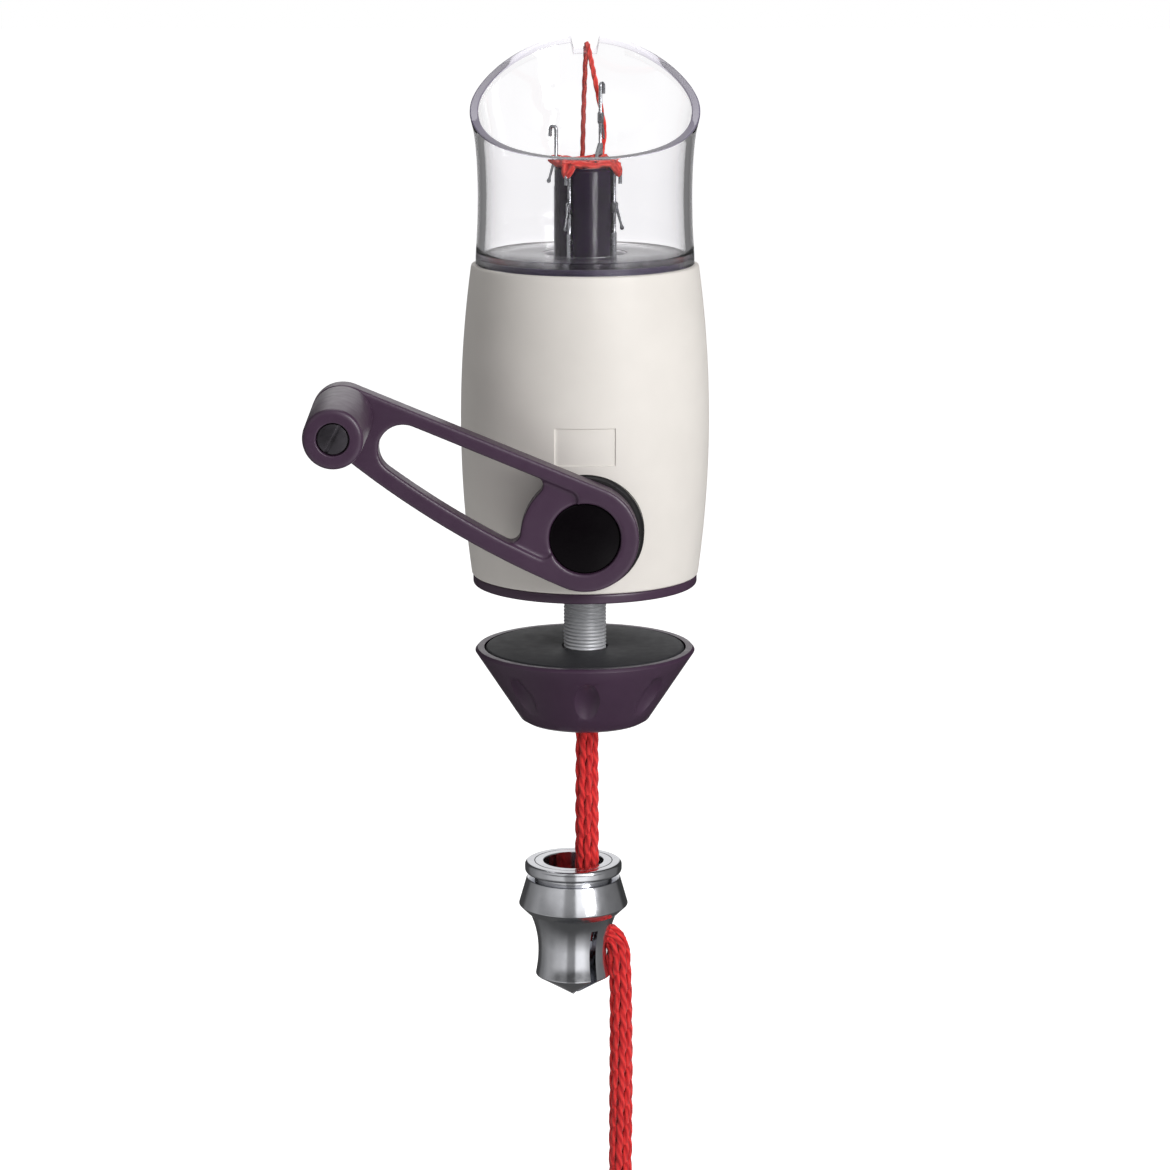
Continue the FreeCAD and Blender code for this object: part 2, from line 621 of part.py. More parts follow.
# ---------------------------------------------------------------- clear guard cup
def guard_cup():
    floor_top = "(deck_top_z + cup_floor_thick)"
    top = "rim_back_z + cut_over"
    low_side = "(cup_foot_r + cup_waist_r) / 2 - cup_bow", f"({floor_top} + cup_waist_z) / 2"
    high_side = "(cup_waist_r + cup_flare_r) / 2 - cup_bow", "(cup_waist_z + cup_flare_z) / 2"
    body = turned("guard_cup", [
        ("cup_hole_r", "deck_top_z"),
        ("cup_skirt_r - cup_wall", "deck_top_z"),
        ("cup_skirt_r - cup_wall", "cup_skirt_z"),
        ("cup_skirt_r", "cup_skirt_z"),
        ("cup_skirt_r", "shell_top_z"),
        ("cup_foot_r", "shell_top_z"),
        ("cup_foot_r", floor_top) + low_side,
        ("cup_waist_r", "cup_waist_z") + high_side,
        ("cup_flare_r", "cup_flare_z"),
        ("cup_mid_r", "cup_mid_z"),
        ("cup_lip_r", top),
        ("cup_lip_r - cup_wall", top),
        ("cup_mid_r - cup_wall", "cup_mid_z"),
        ("cup_flare_r - cup_wall", "cup_flare_z", f"{high_side[0]} - cup_wall", high_side[1]),
        ("cup_waist_r - cup_wall", "cup_waist_z"),
        ("cup_waist_r - cup_wall", floor_top),
        ("cup_hole_r", floor_top),
    ])
    scoop = new_sketch(body, "YZ_Plane")
    reach = "(cup_lip_r + cut_over)"
    draw_outline(scoop, [
        ("-cup_flare_r", "rim_front_z", "0", "rim_mid_z"),
        ("cup_lip_r - cup_wall / 2", "rim_back_z"),
        (reach, "rim_back_z"),
        (reach, "rim_back_z + 2 * cut_over"),
        (f"-{reach}", "rim_back_z + 2 * cut_over"),
        (f"-{reach}", "rim_front_z"),
    ])
    extrude(body, scoop, f"2 * {reach}", cut=True, both=True)
    notch = new_sketch(body, "XZ_Plane", f"-{reach}")
    half = "notch_wide / 2"
    draw_outline(notch, [
        (f"-{half}", "rim_back_z - notch_deep", "0", "rim_back_z - notch_deep - notch_sag"),
        (half, "rim_back_z - notch_deep"),
        (half, "rim_back_z + cut_over"),
        (f"-{half}", "rim_back_z + cut_over"),
    ])
    extrude(body, notch, "2 * cup_wall + cut_over", cut=True, back=True)


# ---------------------------------------------------------------- gears
DEDENDUM = 1.25  # tooth root below the pitch cone, in modules
ROOT_SINK = 1.15  # teeth go into the root cone, so that they fuse with it


def bevel_teeth(turn_teeth):
    """The teeth of a mitre gear about +Z whose pitch cone has its tip at the origin and opens
    upwards. Each tooth narrows towards the tip, with straight flanks."""
    teeth = round(val("gear_teeth"))
    cone = val("gear_module * gear_teeth / 2") * math.sqrt(2)
    addendum, sunk = val("gear_module"), DEDENDUM * ROOT_SINK * val("gear_module")
    half_pitch_tooth = val("gear_share") * math.pi * val("gear_module") / 2
    slope = math.tan(math.radians(val("gear_slope")))
    outward, outside = V(1, 0, 1) / math.sqrt(2), V(1, 0, -1) / math.sqrt(2)

    def section(distance):
        scale = distance / cone
        corners = []
        for side, height in ((-1, -sunk), (-1, addendum), (1, addendum), (1, -sunk)):
            half = (half_pitch_tooth - height * slope) * scale
            corners.append(outward * distance + outside * (height * scale) + V(0, side * half, 0))
        return Part.makePolygon(corners + corners[:1])

    tooth = Part.makeLoft([section(val("gear_inner")), section(cone)], True, True)
    turned_teeth = []
    for i in range(teeth):
        copy = tooth.copy()
        copy.rotate(V(0, 0, 0), Z_AXIS, 360 / teeth * (i + turn_teeth))
        turned_teeth.append(copy)
    return turned_teeth


def bevel_gear(turn_teeth, bore, back, hub, hub_end, spigot=None):
    """Mitre gear with its cone tip at the origin: root cone, rim and hub turned, teeth fused on."""
    cone = val("gear_module * gear_teeth / 2") * math.sqrt(2)
    root = DEDENDUM * val("gear_module") / cone

    def root_point(distance):
        return V(distance * (1 - root), 0, distance * (1 + root)) / math.sqrt(2)

    inner, outer = root_point(val("gear_inner")), root_point(cone)
    line = [V(bore, 0, inner.z), inner, outer, V(outer.x, 0, back), V(hub, 0, back), V(hub, 0, hub_end)]
    if spigot:
        line += [V(spigot[0], 0, hub_end), V(spigot[0], 0, spigot[1]), V(bore, 0, spigot[1])]
    else:
        line += [V(bore, 0, hub_end)]
    blank = Part.Face(Part.makePolygon(line + line[:1])).revolve(V(0, 0, 0), Z_AXIS, 360)
    return blank.fuse(bevel_teeth(turn_teeth)).removeSplitter()


def gears():
    apex = V(0, 0, val("crank_z"))
    driven = bevel_gear(
        0.5, val("cyl_bore_r"), val("plate_z - crank_z - slip_gap"), val("hub_r"),
        val("cyl_foot_z - crank_z"), (val("spigot_r"), val("cyl_foot_z + spigot_tall - crank_z")),
    )
    feature_part("driven_gear", driven, FreeCAD.Placement(apex, FreeCAD.Rotation()))
    back = DEDENDUM * val("gear_module") / math.sqrt(2) + val("gear_module * gear_teeth / 2 + gear_rim")
    pinion = bevel_gear(
        0, val("shaft_r + running_gap / 2"), back, val("bearing_inner_r"), val("bush_back - slip_gap"),
    )
    # the pinion's cone opens towards -Y
    feature_part("drive_pinion", pinion, FreeCAD.Placement(apex, FreeCAD.Rotation(V(1, 0, 0), 90)))


# ---------------------------------------------------------------- needle cylinder and needles
# place, quarter turns from the first needle, and height of the hook's top
NEEDLES = [
    ("front_right", 0, "(cyl_top_z + rise_low)"), ("back_right", 1, "(cyl_top_z + rise_high)"),
    ("back_left", 2, "(cyl_top_z + rise_mid)"), ("front_left", 3, "(cyl_top_z + rise_low)"),
]


def needle_cylinder():
    body = turned("needle_cylinder", [
        ("spigot_r + running_gap", "cyl_foot_z"),
        ("cyl_flange_r", "cyl_foot_z"),
        ("cyl_flange_r", "cyl_foot_z + cyl_flange_thick"),
        ("cyl_r", "cyl_foot_z + cyl_flange_thick"),
        ("cyl_r", "cyl_top_z - cyl_round"),
        ("cyl_r - cyl_round", "cyl_top_z"),
        ("cyl_bore_r + bore_round", "cyl_top_z"),
        ("cyl_bore_r", "cyl_top_z - bore_round"),
        ("cyl_bore_r", "cyl_foot_z + spigot_tall + slip_gap"),
        ("spigot_r + running_gap", "cyl_foot_z + spigot_tall + slip_gap"),
    ], turn="needle_turn")
    slot = new_sketch(body, "XY_Plane", "slot_foot_z")
    half = "blade_thick / 2 + running_gap"
    draw_outline(slot, [
        ("slot_floor_r", f"-({half})"), ("cyl_r + cut_over", f"-({half})"),
        ("cyl_r + cut_over", half), ("slot_floor_r", half),
    ])
    cut = extrude(body, slot, "cyl_top_z - slot_foot_z + cut_over", cut=True, back=True)
    around(body, cut, len(NEEDLES))


def latch_needle(place, quarter, rise):
    """A latch needle whose hook opens outwards; local z = 0 at the hook's top."""
    body = new_body(f"needle_{place}", turn=f"needle_turn + {90 * quarter}", z=rise)
    spine = new_sketch(body, "XZ_Plane")
    foot = V(val("stem_r"), -val("blade_top + wire_sink"), 0)
    crown = V(val("stem_r"), -val("wire_r + hook_wide / 2"), 0)
    over = V(val("stem_r + hook_wide"), crown.y, 0)
    tip = V(over.x, -val("hook_drop"), 0)
    spine.addGeometry(Part.LineSegment(foot, crown), False)
    middle = V((crown.x + over.x) / 2, crown.y + val("hook_wide / 2"), 0)
    spine.addGeometry(Part.Arc(over, middle, crown), False)
    spine.addGeometry(Part.LineSegment(over, tip), False)
    spine.addConstraint(Sketcher.Constraint("Coincident", 0, 2, 1, 2))
    spine.addConstraint(Sketcher.Constraint("Coincident", 1, 1, 2, 1))
    pin(spine, 2, 1, "stem_r + hook_wide", "-(wire_r + hook_wide / 2)")
    constrain(spine, "DistanceY", "-(wire_r + hook_wide / 2)", -1, 1, 1, 3)
    pin(spine, 0, 1, "stem_r", "-(blade_top + wire_sink)")
    pin(spine, 0, 2, "stem_r", "-(wire_r + hook_wide / 2)")
    pin(spine, 2, 2, "stem_r + hook_wide", "-hook_drop")
    ring = new_sketch(body, "XY_Plane", "-(blade_top + wire_sink)")
    draw_circle(ring, "stem_r", "0", "wire_r")
    wire = body.newObject("PartDesign::AdditivePipe", "Wire")
    wire.Profile = ring
    wire.Spine = (spine, ["Edge1", "Edge2", "Edge3"])
    blade = new_sketch(body, "XZ_Plane")
    edge = "stem_r + wire_r"
    blade_low = f"-({BUTT_LOW} + blade_tail)"
    draw_outline(blade, [
        ("blade_inner_r", blade_low), (edge, blade_low),
        (edge, f"-{BUTT_LOW}"), ("butt_r", f"-{BUTT_LOW}"),
        ("butt_r", f"-({BUTT_LOW} - butt_tall)"), (edge, f"-({BUTT_LOW} - butt_tall)"),
        (edge, "-blade_top"), ("stem_r - wire_r", "-blade_top"),
        ("blade_inner_r", "-(blade_top + blade_ramp)"),
    ])
    extrude(body, blade, "blade_thick", both=True)
    cheek = new_sketch(body, "XZ_Plane")
    draw_outline(cheek, [
        ("cyl_r + slip_gap", "-(cheek_low - cheek_taper)"), ("stem_r", "-cheek_low"),
        ("cyl_r + slip_gap + cheek_deep", "-(cheek_low - cheek_taper)"),
        ("cyl_r + slip_gap + cheek_deep", "-(cheek_top + cheek_taper)"),
        ("stem_r", "-cheek_top"), ("cyl_r + slip_gap", "-(cheek_top + cheek_taper)"),
    ])
    extrude(body, cheek, "blade_thick + cheek_swell", both=True)
    groove = new_sketch(body, "XZ_Plane")
    draw_outline(groove, [
        ("stem_r - slip_gap / 2", "-(cheek_low + groove_room)"), ("butt_r", "-(cheek_low + groove_room)"),
        ("butt_r", "-(cheek_top - groove_room)"), ("stem_r - slip_gap / 2", "-(cheek_top - groove_room)"),
    ])
    extrude(body, groove, "latch_slot", cut=True, both=True)
    rivet = new_sketch(body, "XZ_Plane")
    draw_circle(rivet, "stem_r + wire_r", "-pivot_drop", "rivet_r + running_gap")
    extrude(body, rivet, "2 * blade_thick", cut=True, both=True)


def latch(place, quarter, rise):
    """The latch, hanging open; local origin on its rivet."""
    turn = f"(needle_turn + {90 * quarter})"
    reach = "(stem_r + wire_r)"
    body = new_body(f"latch_{place}", turn=turn, x=f"{reach} * cos({turn})", y=f"{reach} * sin({turn})",
                    z=f"{rise} - pivot_drop")
    lean_out, lean_down = "sin(latch_lean)", "cos(latch_lean)"

    def along(distance, side):
        return (f"({distance}) * {lean_out} + ({side}) * {lean_down}",
                f"-({distance}) * {lean_down} + ({side}) * {lean_out}")

    bar = new_sketch(body, "XZ_Plane")
    draw_outline(bar, [
        along("0", "-latch_eye_r") + along("-latch_eye_r", "0"),
        along("0", "latch_eye_r"),
        along("latch_long - spoon_long", "latch_half"),
        along("latch_long - spoon_peak", "spoon_half") + along("latch_long", "0"),
        along("latch_long - spoon_peak", "-spoon_half"),
        along("latch_long - spoon_long", "-latch_half"),
    ])
    extrude(body, bar, "latch_thick", both=True)
    rivet = new_sketch(body, "XZ_Plane")
    draw_circle(rivet, "0", "0", "rivet_r")
    extrude(body, rivet, "blade_thick + cheek_swell", both=True)


# ---------------------------------------------------------------- crank
ARM_BACK = f"({BEARING_FRONT} + free_gap)"
ARM_FRONT = f"({BEARING_FRONT} + free_gap + arm_thick)"
WELL_FLOOR = f"({ARM_FRONT} - cap_well_deep)"
SCREW_SEAT = f"({WELL_FLOOR} - hub_screw_head)"
SHAFT_END = f"({SCREW_SEAT} - arm_web)"
KNOB_BACK = f"({ARM_FRONT} + free_gap)"
KNOB_SEAT = f"({KNOB_BACK} + knob_long - knob_well_deep)"
CRANK_PLACE = {"turn": "arm_rise", "about": Y_AXIS, "z": "crank_z"}
KNOB_PLACE = {
    "turn": "arm_rise", "about": Y_AXIS,
    "x": "-throw * cos(arm_rise)", "z": "crank_z + throw * sin(arm_rise)",
}


def turned_along_y(label, corners, place):
    """A turned piece on a crank axis; corners are (radius, distance in front of the axis)."""
    body = new_body(label, **place)
    revolve(body, [(radius, f"-({front})") for radius, front in corners], plane="XY_Plane")
    return body


def crank_drive():
    turned_along_y("shaft_bush", [
        ("shaft_r + running_gap", "bush_back"), ("bush_r", "bush_back"),
        ("bush_r", f"{BEARING_FRONT} - bearing_lip"),
        ("shaft_r + running_gap", f"{BEARING_FRONT} - bearing_lip"),
    ], {"z": "crank_z"})
    bearing = turned_along_y("crank_bearing", [
        ("bush_r + running_gap", BOSS_FRONT), ("bearing_r", BOSS_FRONT),
        ("bearing_r", f"{BEARING_FRONT} - bearing_round"), ("bearing_r - bearing_round", BEARING_FRONT),
        ("shaft_r + free_gap", BEARING_FRONT), ("shaft_r + free_gap", f"{BEARING_FRONT} - bearing_lip"),
        ("bush_r + running_gap", f"{BEARING_FRONT} - bearing_lip"),
    ], {"z": "crank_z"})
    cylinder_along(bearing, "XZ_Plane", f"{BOSS_FRONT} - cut_over",
                   "bearing_screw_bite + screw_end_gap + cut_over",
                   [("-bearing_screw_x", "0"), ("bearing_screw_x", "0")], "screw_r + running_gap",
                   cut=True, back=True)
    shaft = turned_along_y("crank_shaft", [
        ("0", "shaft_tip"), ("shaft_r", "shaft_tip"), ("shaft_r", SHAFT_END),
        ("screw_r + running_gap", SHAFT_END), ("screw_r + running_gap", f"{SHAFT_END} - hub_screw_long"),
        ("0", f"{SHAFT_END} - hub_screw_long"),
    ], CRANK_PLACE)
    flat = new_sketch(shaft, "XZ_Plane", ARM_BACK)
    draw_outline(flat, [("-shaft_r", "shaft_flat"), ("shaft_r", "shaft_flat"),
                        ("shaft_r", "shaft_r + cut_over"), ("-shaft_r", "shaft_r + cut_over")])
    extrude(shaft, flat, "arm_thick", cut=True, back=True)


def arm_outline(sketch):
    """Hub circle and end circle joined by a straight upper edge and a long arc below."""
    hub, end, far, low = val("arm_hub_r"), val("arm_end_r"), val("throw"), val("arm_belly_radius")
    tilt = math.asin((hub - end) / far)
    top_hub = V(-hub * math.sin(tilt), hub * math.cos(tilt), 0)
    top_end = V(-far - end * math.sin(tilt), end * math.cos(tilt), 0)
    across = ((low - end) ** 2 - (low - hub) ** 2 - far ** 2) / (2 * far)
    centre = V(across, math.sqrt((low - hub) ** 2 - across ** 2), 0)
    hub_way, end_way = V(-centre.x, -centre.y, 0).normalize(), V(-far - centre.x, -centre.y, 0).normalize()
    low_hub, low_end = centre + hub_way * low, centre + end_way * low
    middle = centre + (hub_way + end_way).normalize() * low
    sketch.addGeometry(Part.LineSegment(top_hub, top_end), False)
    sketch.addGeometry(Part.Arc(top_end, V(-far - end, 0, 0), low_end), False)
    sketch.addGeometry(Part.Arc(low_end, middle, low_hub), False)
    sketch.addGeometry(Part.Arc(low_hub, V(hub, 0, 0), top_hub), False)
    joins = [(0, 2, 1, 1), (1, 2, 2, 1), (2, 2, 3, 1), (3, 2, 0, 1)]
    for join in joins:
        sketch.addConstraint(Sketcher.Constraint("Tangent", *join))
    constrain(sketch, "Radius", "arm_end_r", 1)
    constrain(sketch, "Radius", "arm_belly_radius", 2)
    constrain(sketch, "Radius", "arm_hub_r", 3)
    pin(sketch, 3, 3, "0", "0")
    pin(sketch, 1, 3, "-throw", "0")
    return tilt, centre


def arm_window(sketch, tilt, centre, web):
    """The opening between the two struts, closed by a round end and by a circle about the hub."""
    hub, low = val("arm_hub_r"), val("arm_belly_radius")
    inner_top, inner_low = hub - val("strut_top"), low - val("strut_low")
    round_r, corner = val("window_end_r"), val("web_corner_r")
    along_top = V(-math.cos(tilt), -math.sin(tilt), 0)
    inward = V(math.sin(tilt), -math.cos(tilt), 0)

    def top_point(distance, inside=0.0):
        """Point along the upper strut's inner edge, or inside it."""
        start = V(-inner_top * math.sin(tilt), inner_top * math.cos(tilt), 0)
        return start + along_top * distance + inward * inside

    def reach(start, stop, inside, wanted):
        """Distance along the upper edge where wanted(point) changes sign."""
        for _ in range(60):
            middle = (start + stop) / 2
            if wanted(top_point(middle, inside)) > 0:
                start = middle
            else:
                stop = middle
        return start

    end_at = reach(0, val("throw"), round_r, lambda p: (inner_low - round_r) - p.distanceToPoint(centre))
    end_centre = top_point(end_at, round_r)
    end_low = centre + (end_centre - centre).normalize() * inner_low
    top_at = reach(0, val("throw"), corner, lambda p: (web + corner) - p.Length)
    top_centre = top_point(top_at, corner)
    web_top = V(top_centre).normalize() * web
    # lower corner: touches the lower edge from inside and the web from outside
    apart, ring, rim = centre.Length, web + corner, inner_low - corner
    up = (ring ** 2 + apart ** 2 - rim ** 2) / (2 * apart)
    side = math.sqrt(ring ** 2 - up ** 2)
    way = V(centre).normalize()
    low_centre = way * up + V(-way.y, way.x, 0) * side
    if low_centre.x > 0:
        low_centre = way * up - V(-way.y, way.x, 0) * side
    low_touch = centre + (low_centre - centre).normalize() * inner_low
    web_low = V(low_centre).normalize() * web
    web_mid = (web_top + web_low).normalize() * web
    halfway = (end_low - centre).normalize() + (low_touch - centre).normalize()
    low_mid = centre + halfway.normalize() * inner_low

    def bulge(middle, one, other, radius):
        way_out = (one - middle).normalize() + (other - middle).normalize()
        return middle + way_out.normalize() * radius

    sketch.addGeometry(Part.LineSegment(top_point(top_at), top_point(end_at)), False)
    far_side = end_centre + V(-1, 0, 0) * round_r
    sketch.addGeometry(Part.Arc(top_point(end_at), far_side, end_low), False)
    sketch.addGeometry(Part.Arc(end_low, low_mid, low_touch), False)
    sketch.addGeometry(Part.Arc(low_touch, bulge(low_centre, low_touch, web_low, corner), web_low), False)
    sketch.addGeometry(Part.Arc(web_top, web_mid, web_low), False)
    sketch.addGeometry(Part.Arc(web_top, bulge(top_centre, web_top, top_point(top_at), corner),
                                top_point(top_at)), False)


def crank_arm():
    body = new_body("crank_arm", **CRANK_PLACE)
    plan = new_sketch(body, "XZ_Plane", ARM_BACK)
    tilt, centre = arm_outline(plan)
    extrude(body, plan, "arm_thick")
    window = new_sketch(body, "XZ_Plane", f"{ARM_BACK} - cut_over")
    arm_window(window, tilt, centre, val("web_r"))
    extrude(body, window, "arm_thick + 2 * cut_over", cut=True, back=True)
    front = f"{ARM_FRONT} + cut_over"
    web = new_sketch(body, "XZ_Plane", front)
    arm_window(web, tilt, centre, val("web_inner_r"))
    extrude(body, web, "web_drop + cut_over", cut=True)
    cylinder_along(body, "XZ_Plane", front, "cap_well_deep + cut_over", [("0", "0")], "cap_well_r", cut=True)
    cylinder_along(body, "XZ_Plane", front, f"{front} - {SCREW_SEAT}", [("0", "0")],
                   "screw_head_r + running_gap", cut=True)
    cylinder_along(body, "XZ_Plane", front, f"{front} - {ARM_BACK}", [("0", "0")],
                   "screw_r + running_gap", cut=True)
    bore = new_sketch(body, "XZ_Plane", f"{ARM_BACK} - cut_over")
    radius = "(shaft_r + running_gap)"
    flat = "(shaft_flat + running_gap)"
    half = f"sqrt({radius} * {radius} - {flat} * {flat})"
    draw_outline(bore, [(half, flat), (f"-{half}", flat, "0", f"-{radius}")])
    extrude(body, bore, f"{SHAFT_END} - {ARM_BACK} + cut_over", cut=True, back=True)
    cylinder_along(body, "XZ_Plane", front, "knob_screw_long + cut_over", [("-throw", "0")],
                   "knob_thread_r + running_gap", cut=True)


def crank_trim():
    turned_along_y("hub_cap", [
        ("0", WELL_FLOOR), ("cap_well_r - slip_gap", WELL_FLOOR),
        ("cap_well_r - slip_gap", f"{WELL_FLOOR} + cap_thick - cap_round"),
        ("cap_well_r - slip_gap - cap_round", f"{WELL_FLOOR} + cap_thick"),
        ("0", f"{WELL_FLOOR} + cap_thick"),
    ], CRANK_PLACE)
    turned_along_y("hub_screw", [
        ("0", f"{SHAFT_END} - hub_screw_long + screw_end_gap"),
        ("screw_r", f"{SHAFT_END} - hub_screw_long + screw_end_gap"),
        ("screw_r", SCREW_SEAT), ("screw_head_r", SCREW_SEAT),
        ("screw_head_r", f"{SCREW_SEAT} + hub_screw_head - running_gap"),
        ("0", f"{SCREW_SEAT} + hub_screw_head - running_gap"),
    ], CRANK_PLACE)
    turned_along_y("crank_knob", [
        ("knob_pin_r + running_gap", KNOB_BACK), ("knob_back_r - knob_round", KNOB_BACK),
        ("knob_back_r", f"{KNOB_BACK} + knob_round"),
        ("knob_front_r", f"{KNOB_BACK} + knob_long - knob_round"),
        ("knob_front_r - knob_round", f"{KNOB_BACK} + knob_long"),
        ("knob_well_r", f"{KNOB_BACK} + knob_long"), ("knob_well_r", KNOB_SEAT),
        ("knob_pin_r + running_gap", KNOB_SEAT),
    ], KNOB_PLACE)
    screw = turned_along_y("knob_screw", [
        ("0", f"{ARM_FRONT} - knob_screw_long + screw_end_gap"),
        ("knob_thread_r", f"{ARM_FRONT} - knob_screw_long + screw_end_gap"),
        ("knob_thread_r", ARM_FRONT), ("knob_pin_r", ARM_FRONT),
        ("knob_pin_r", f"{KNOB_SEAT} + running_gap"),
        ("knob_well_r - free_gap", f"{KNOB_SEAT} + running_gap"),
        ("knob_well_r - free_gap", f"{KNOB_SEAT} + knob_head_tall"), ("0", f"{KNOB_SEAT} + knob_head_tall"),
    ], KNOB_PLACE)
    slot = new_sketch(screw, "XZ_Plane", f"{KNOB_SEAT} + knob_head_tall / 2")
    half_wide, half_long = "slot_wide / 2", "knob_well_r"
    draw_outline(slot, [(f"-{half_wide}", f"-{half_long}"), (half_wide, f"-{half_long}"),
                        (half_wide, half_long), (f"-{half_wide}", half_long)])
    extrude(screw, slot, "knob_head_tall", cut=True, back=True)


# ---------------------------------------------------------------- table clamp
PAD_TOP = "(-table_thick)"
PAD_FOOT = "(-table_thick - pad_thick)"


def clamp_bolt():
    body = turned("clamp_bolt", [
        ("bolt_bore_r", "bolt_end_z"), ("bolt_r - bolt_chamfer", "bolt_end_z"),
        ("bolt_r", "bolt_end_z + bolt_chamfer"),
        ("bolt_r", "base_top_z + bolt_head_tall / 2"), ("bolt_bore_r", "base_top_z + bolt_head_tall / 2"),
    ])
    head = new_sketch(body, "XY_Plane", "base_top_z")
    hexagon(head, "bolt_hex")
    draw_circle(head, "0", "0", "bolt_bore_r")
    extrude(body, head, "bolt_head_tall")


def guide_tube():
    turned("guide_tube", [
        ("bolt_bore_r", FLOOR_TOP), ("guide_foot_r", FLOOR_TOP),
        ("guide_foot_r", f"{FLOOR_TOP} + guide_foot_tall"),
        ("cyl_bore_r - free_gap", f"{FLOOR_TOP} + guide_foot_tall"), ("cyl_bore_r - free_gap", PLATE_TOP),
        ("bolt_bore_r", PLATE_TOP),
    ])


def clamp_pad():
    turned("clamp_pad", [
        ("bolt_r + free_gap", PAD_FOOT), ("pad_r", PAD_FOOT), ("pad_r", f"{PAD_TOP} - pad_round"),
        ("pad_r - pad_round", PAD_TOP), ("bolt_r + free_gap", PAD_TOP),
    ])


def clamp_knob():
    lip_top = f"({PAD_TOP} - clamp_lip_drop)"
    lip_foot = f"({lip_top} - clamp_lip_tall)"
    seat = f"({PAD_FOOT} - running_gap)"
    floor = "(clamp_foot_z + clamp_wall)"
    body = turned("clamp_knob", [
        ("bolt_r + free_gap", "clamp_foot_z"),
        ("clamp_foot_r - clamp_foot_round", "clamp_foot_z"),
        ("clamp_foot_r + clamp_foot_out", "clamp_foot_z + clamp_foot_round"),
        ("clamp_lip_r", lip_foot),
        ("clamp_lip_r - clamp_lip_round", lip_top),
        ("pad_r + free_gap", lip_top),
        ("pad_r + free_gap", seat),
        ("pad_r + free_gap - pad_shelf", seat),
        ("clamp_foot_r - clamp_wall", floor),
        ("clamp_boss_r", floor),
        ("clamp_boss_r", seat),
        ("insert_r + running_gap", seat),
        ("insert_r + running_gap", floor),
        ("bolt_r + free_gap", floor),
    ])
    finger_flutes(body, lip_foot)


def finger_flutes(body, lip_foot):
    """Shallow elliptical finger hollows: an ellipsoid sunk into the cone, repeated about the axis."""
    foot_r, foot_z = val("clamp_foot_r + clamp_foot_out"), val("clamp_foot_z + clamp_foot_round")
    lip_r, lip_z = val("clamp_lip_r"), val(lip_foot)
    middle = V((foot_r + lip_r) / 2, 0, (foot_z + lip_z) / 2)
    out_of_cone = V(lip_z - foot_z, 0, foot_r - lip_r).normalize()
    shown = 0.75  # share of the ellipsoid's half sizes that shows at the surface
    depth_r = val("flute_deep") / (1 - math.sqrt(1 - shown ** 2))
    centre = middle + out_of_cone * (depth_r - val("flute_deep"))
    cutter = doc.addObject("PartDesign::SubtractiveEllipsoid", "Flute")
    body.addObject(cutter)
    cutter.AttachmentSupport = [(next(f for f in body.Origin.OriginFeatures if f.Role == "XY_Plane"), "")]
    cutter.MapMode = "FlatFace"
    cutter.Radius1, cutter.Radius2, cutter.Radius3 = (
        depth_r, val("flute_tall") / 2 / shown, val("flute_wide") / 2 / shown)
    cutter.Angle1, cutter.Angle2, cutter.Angle3 = -90, 90, 360
    # the ellipsoid's first radius lies along its own Z, so it is turned to point out of the cone
    aim = FreeCAD.Rotation(Z_AXIS, out_of_cone)
    turn = FreeCAD.Rotation(Z_AXIS, val("flute_turn"))
    cutter.AttachmentOffset = FreeCAD.Placement(turn.multVec(centre), turn.multiply(aim))
    around(body, cutter, "flutes")


def threaded_insert():
    """Brass nut moulded into the clamp knob; its bore is the thread's outside plus a clearance."""
    turned("threaded_insert", [
        ("bolt_r + thread_gap", "clamp_foot_z + clamp_wall"), ("insert_r", "clamp_foot_z + clamp_wall"),
        ("insert_r", f"{PAD_FOOT} - slip_gap"), ("bolt_r + thread_gap", f"{PAD_FOOT} - slip_gap"),
    ])


# ---------------------------------------------------------------- knitting, weight and yarn
def knitted_tube():
    """The knitting inside the mill: stitches on the cylinder's top, drawn down to the cord."""
    turned("knitted_tube", [
        ("0", "clamp_foot_z"), ("cord_r", "clamp_foot_z"), ("cord_r", "cyl_top_z - draw_low"),
        ("cyl_bore_r - free_gap", "cyl_top_z - draw_top"), ("cyl_bore_r - free_gap", "cyl_top_z + slip_gap"),
        ("stitch_r", "cyl_top_z + slip_gap"), ("stitch_r", "cyl_top_z + stitch_tall"),
        ("cyl_bore_r - knit_wall", "cyl_top_z + stitch_tall"),
        ("cord_r - knit_wall", "cyl_top_z - funnel_deep"),
        ("0", "cyl_top_z - funnel_deep - 2 * knit_wall"),
    ])


ARC_SHARE = 0.45  # share of a run that the arc at its corner takes up


def arc_path(points):
    """Straight runs joined by tangent arcs, each as wide as the shorter of its two runs allows."""
    edges, radii, start = [], [], points[0]
    for before, corner, after in zip(points, points[1:], points[2:]):
        way_in, way_out = (corner - before).normalize(), (after - corner).normalize()
        half_turn = way_in.getAngle(way_out) / 2
        shorter = min((corner - before).Length, (after - corner).Length)
        tangent = ARC_SHARE * shorter
        radius = tangent / math.tan(half_turn)
        one, other = corner - way_in * tangent, corner + way_out * tangent
        inside = (way_out - way_in).normalize()
        middle = corner + inside * (radius / math.cos(half_turn) - radius)
        edges.append(Part.LineSegment(start, one).toShape())
        edges.append(Part.Arc(one, middle, other).toShape())
        radii.append(round(radius, 1))
        start = other
    edges.append(Part.LineSegment(start, points[-1]).toShape())
    return Part.Wire(edges), radii


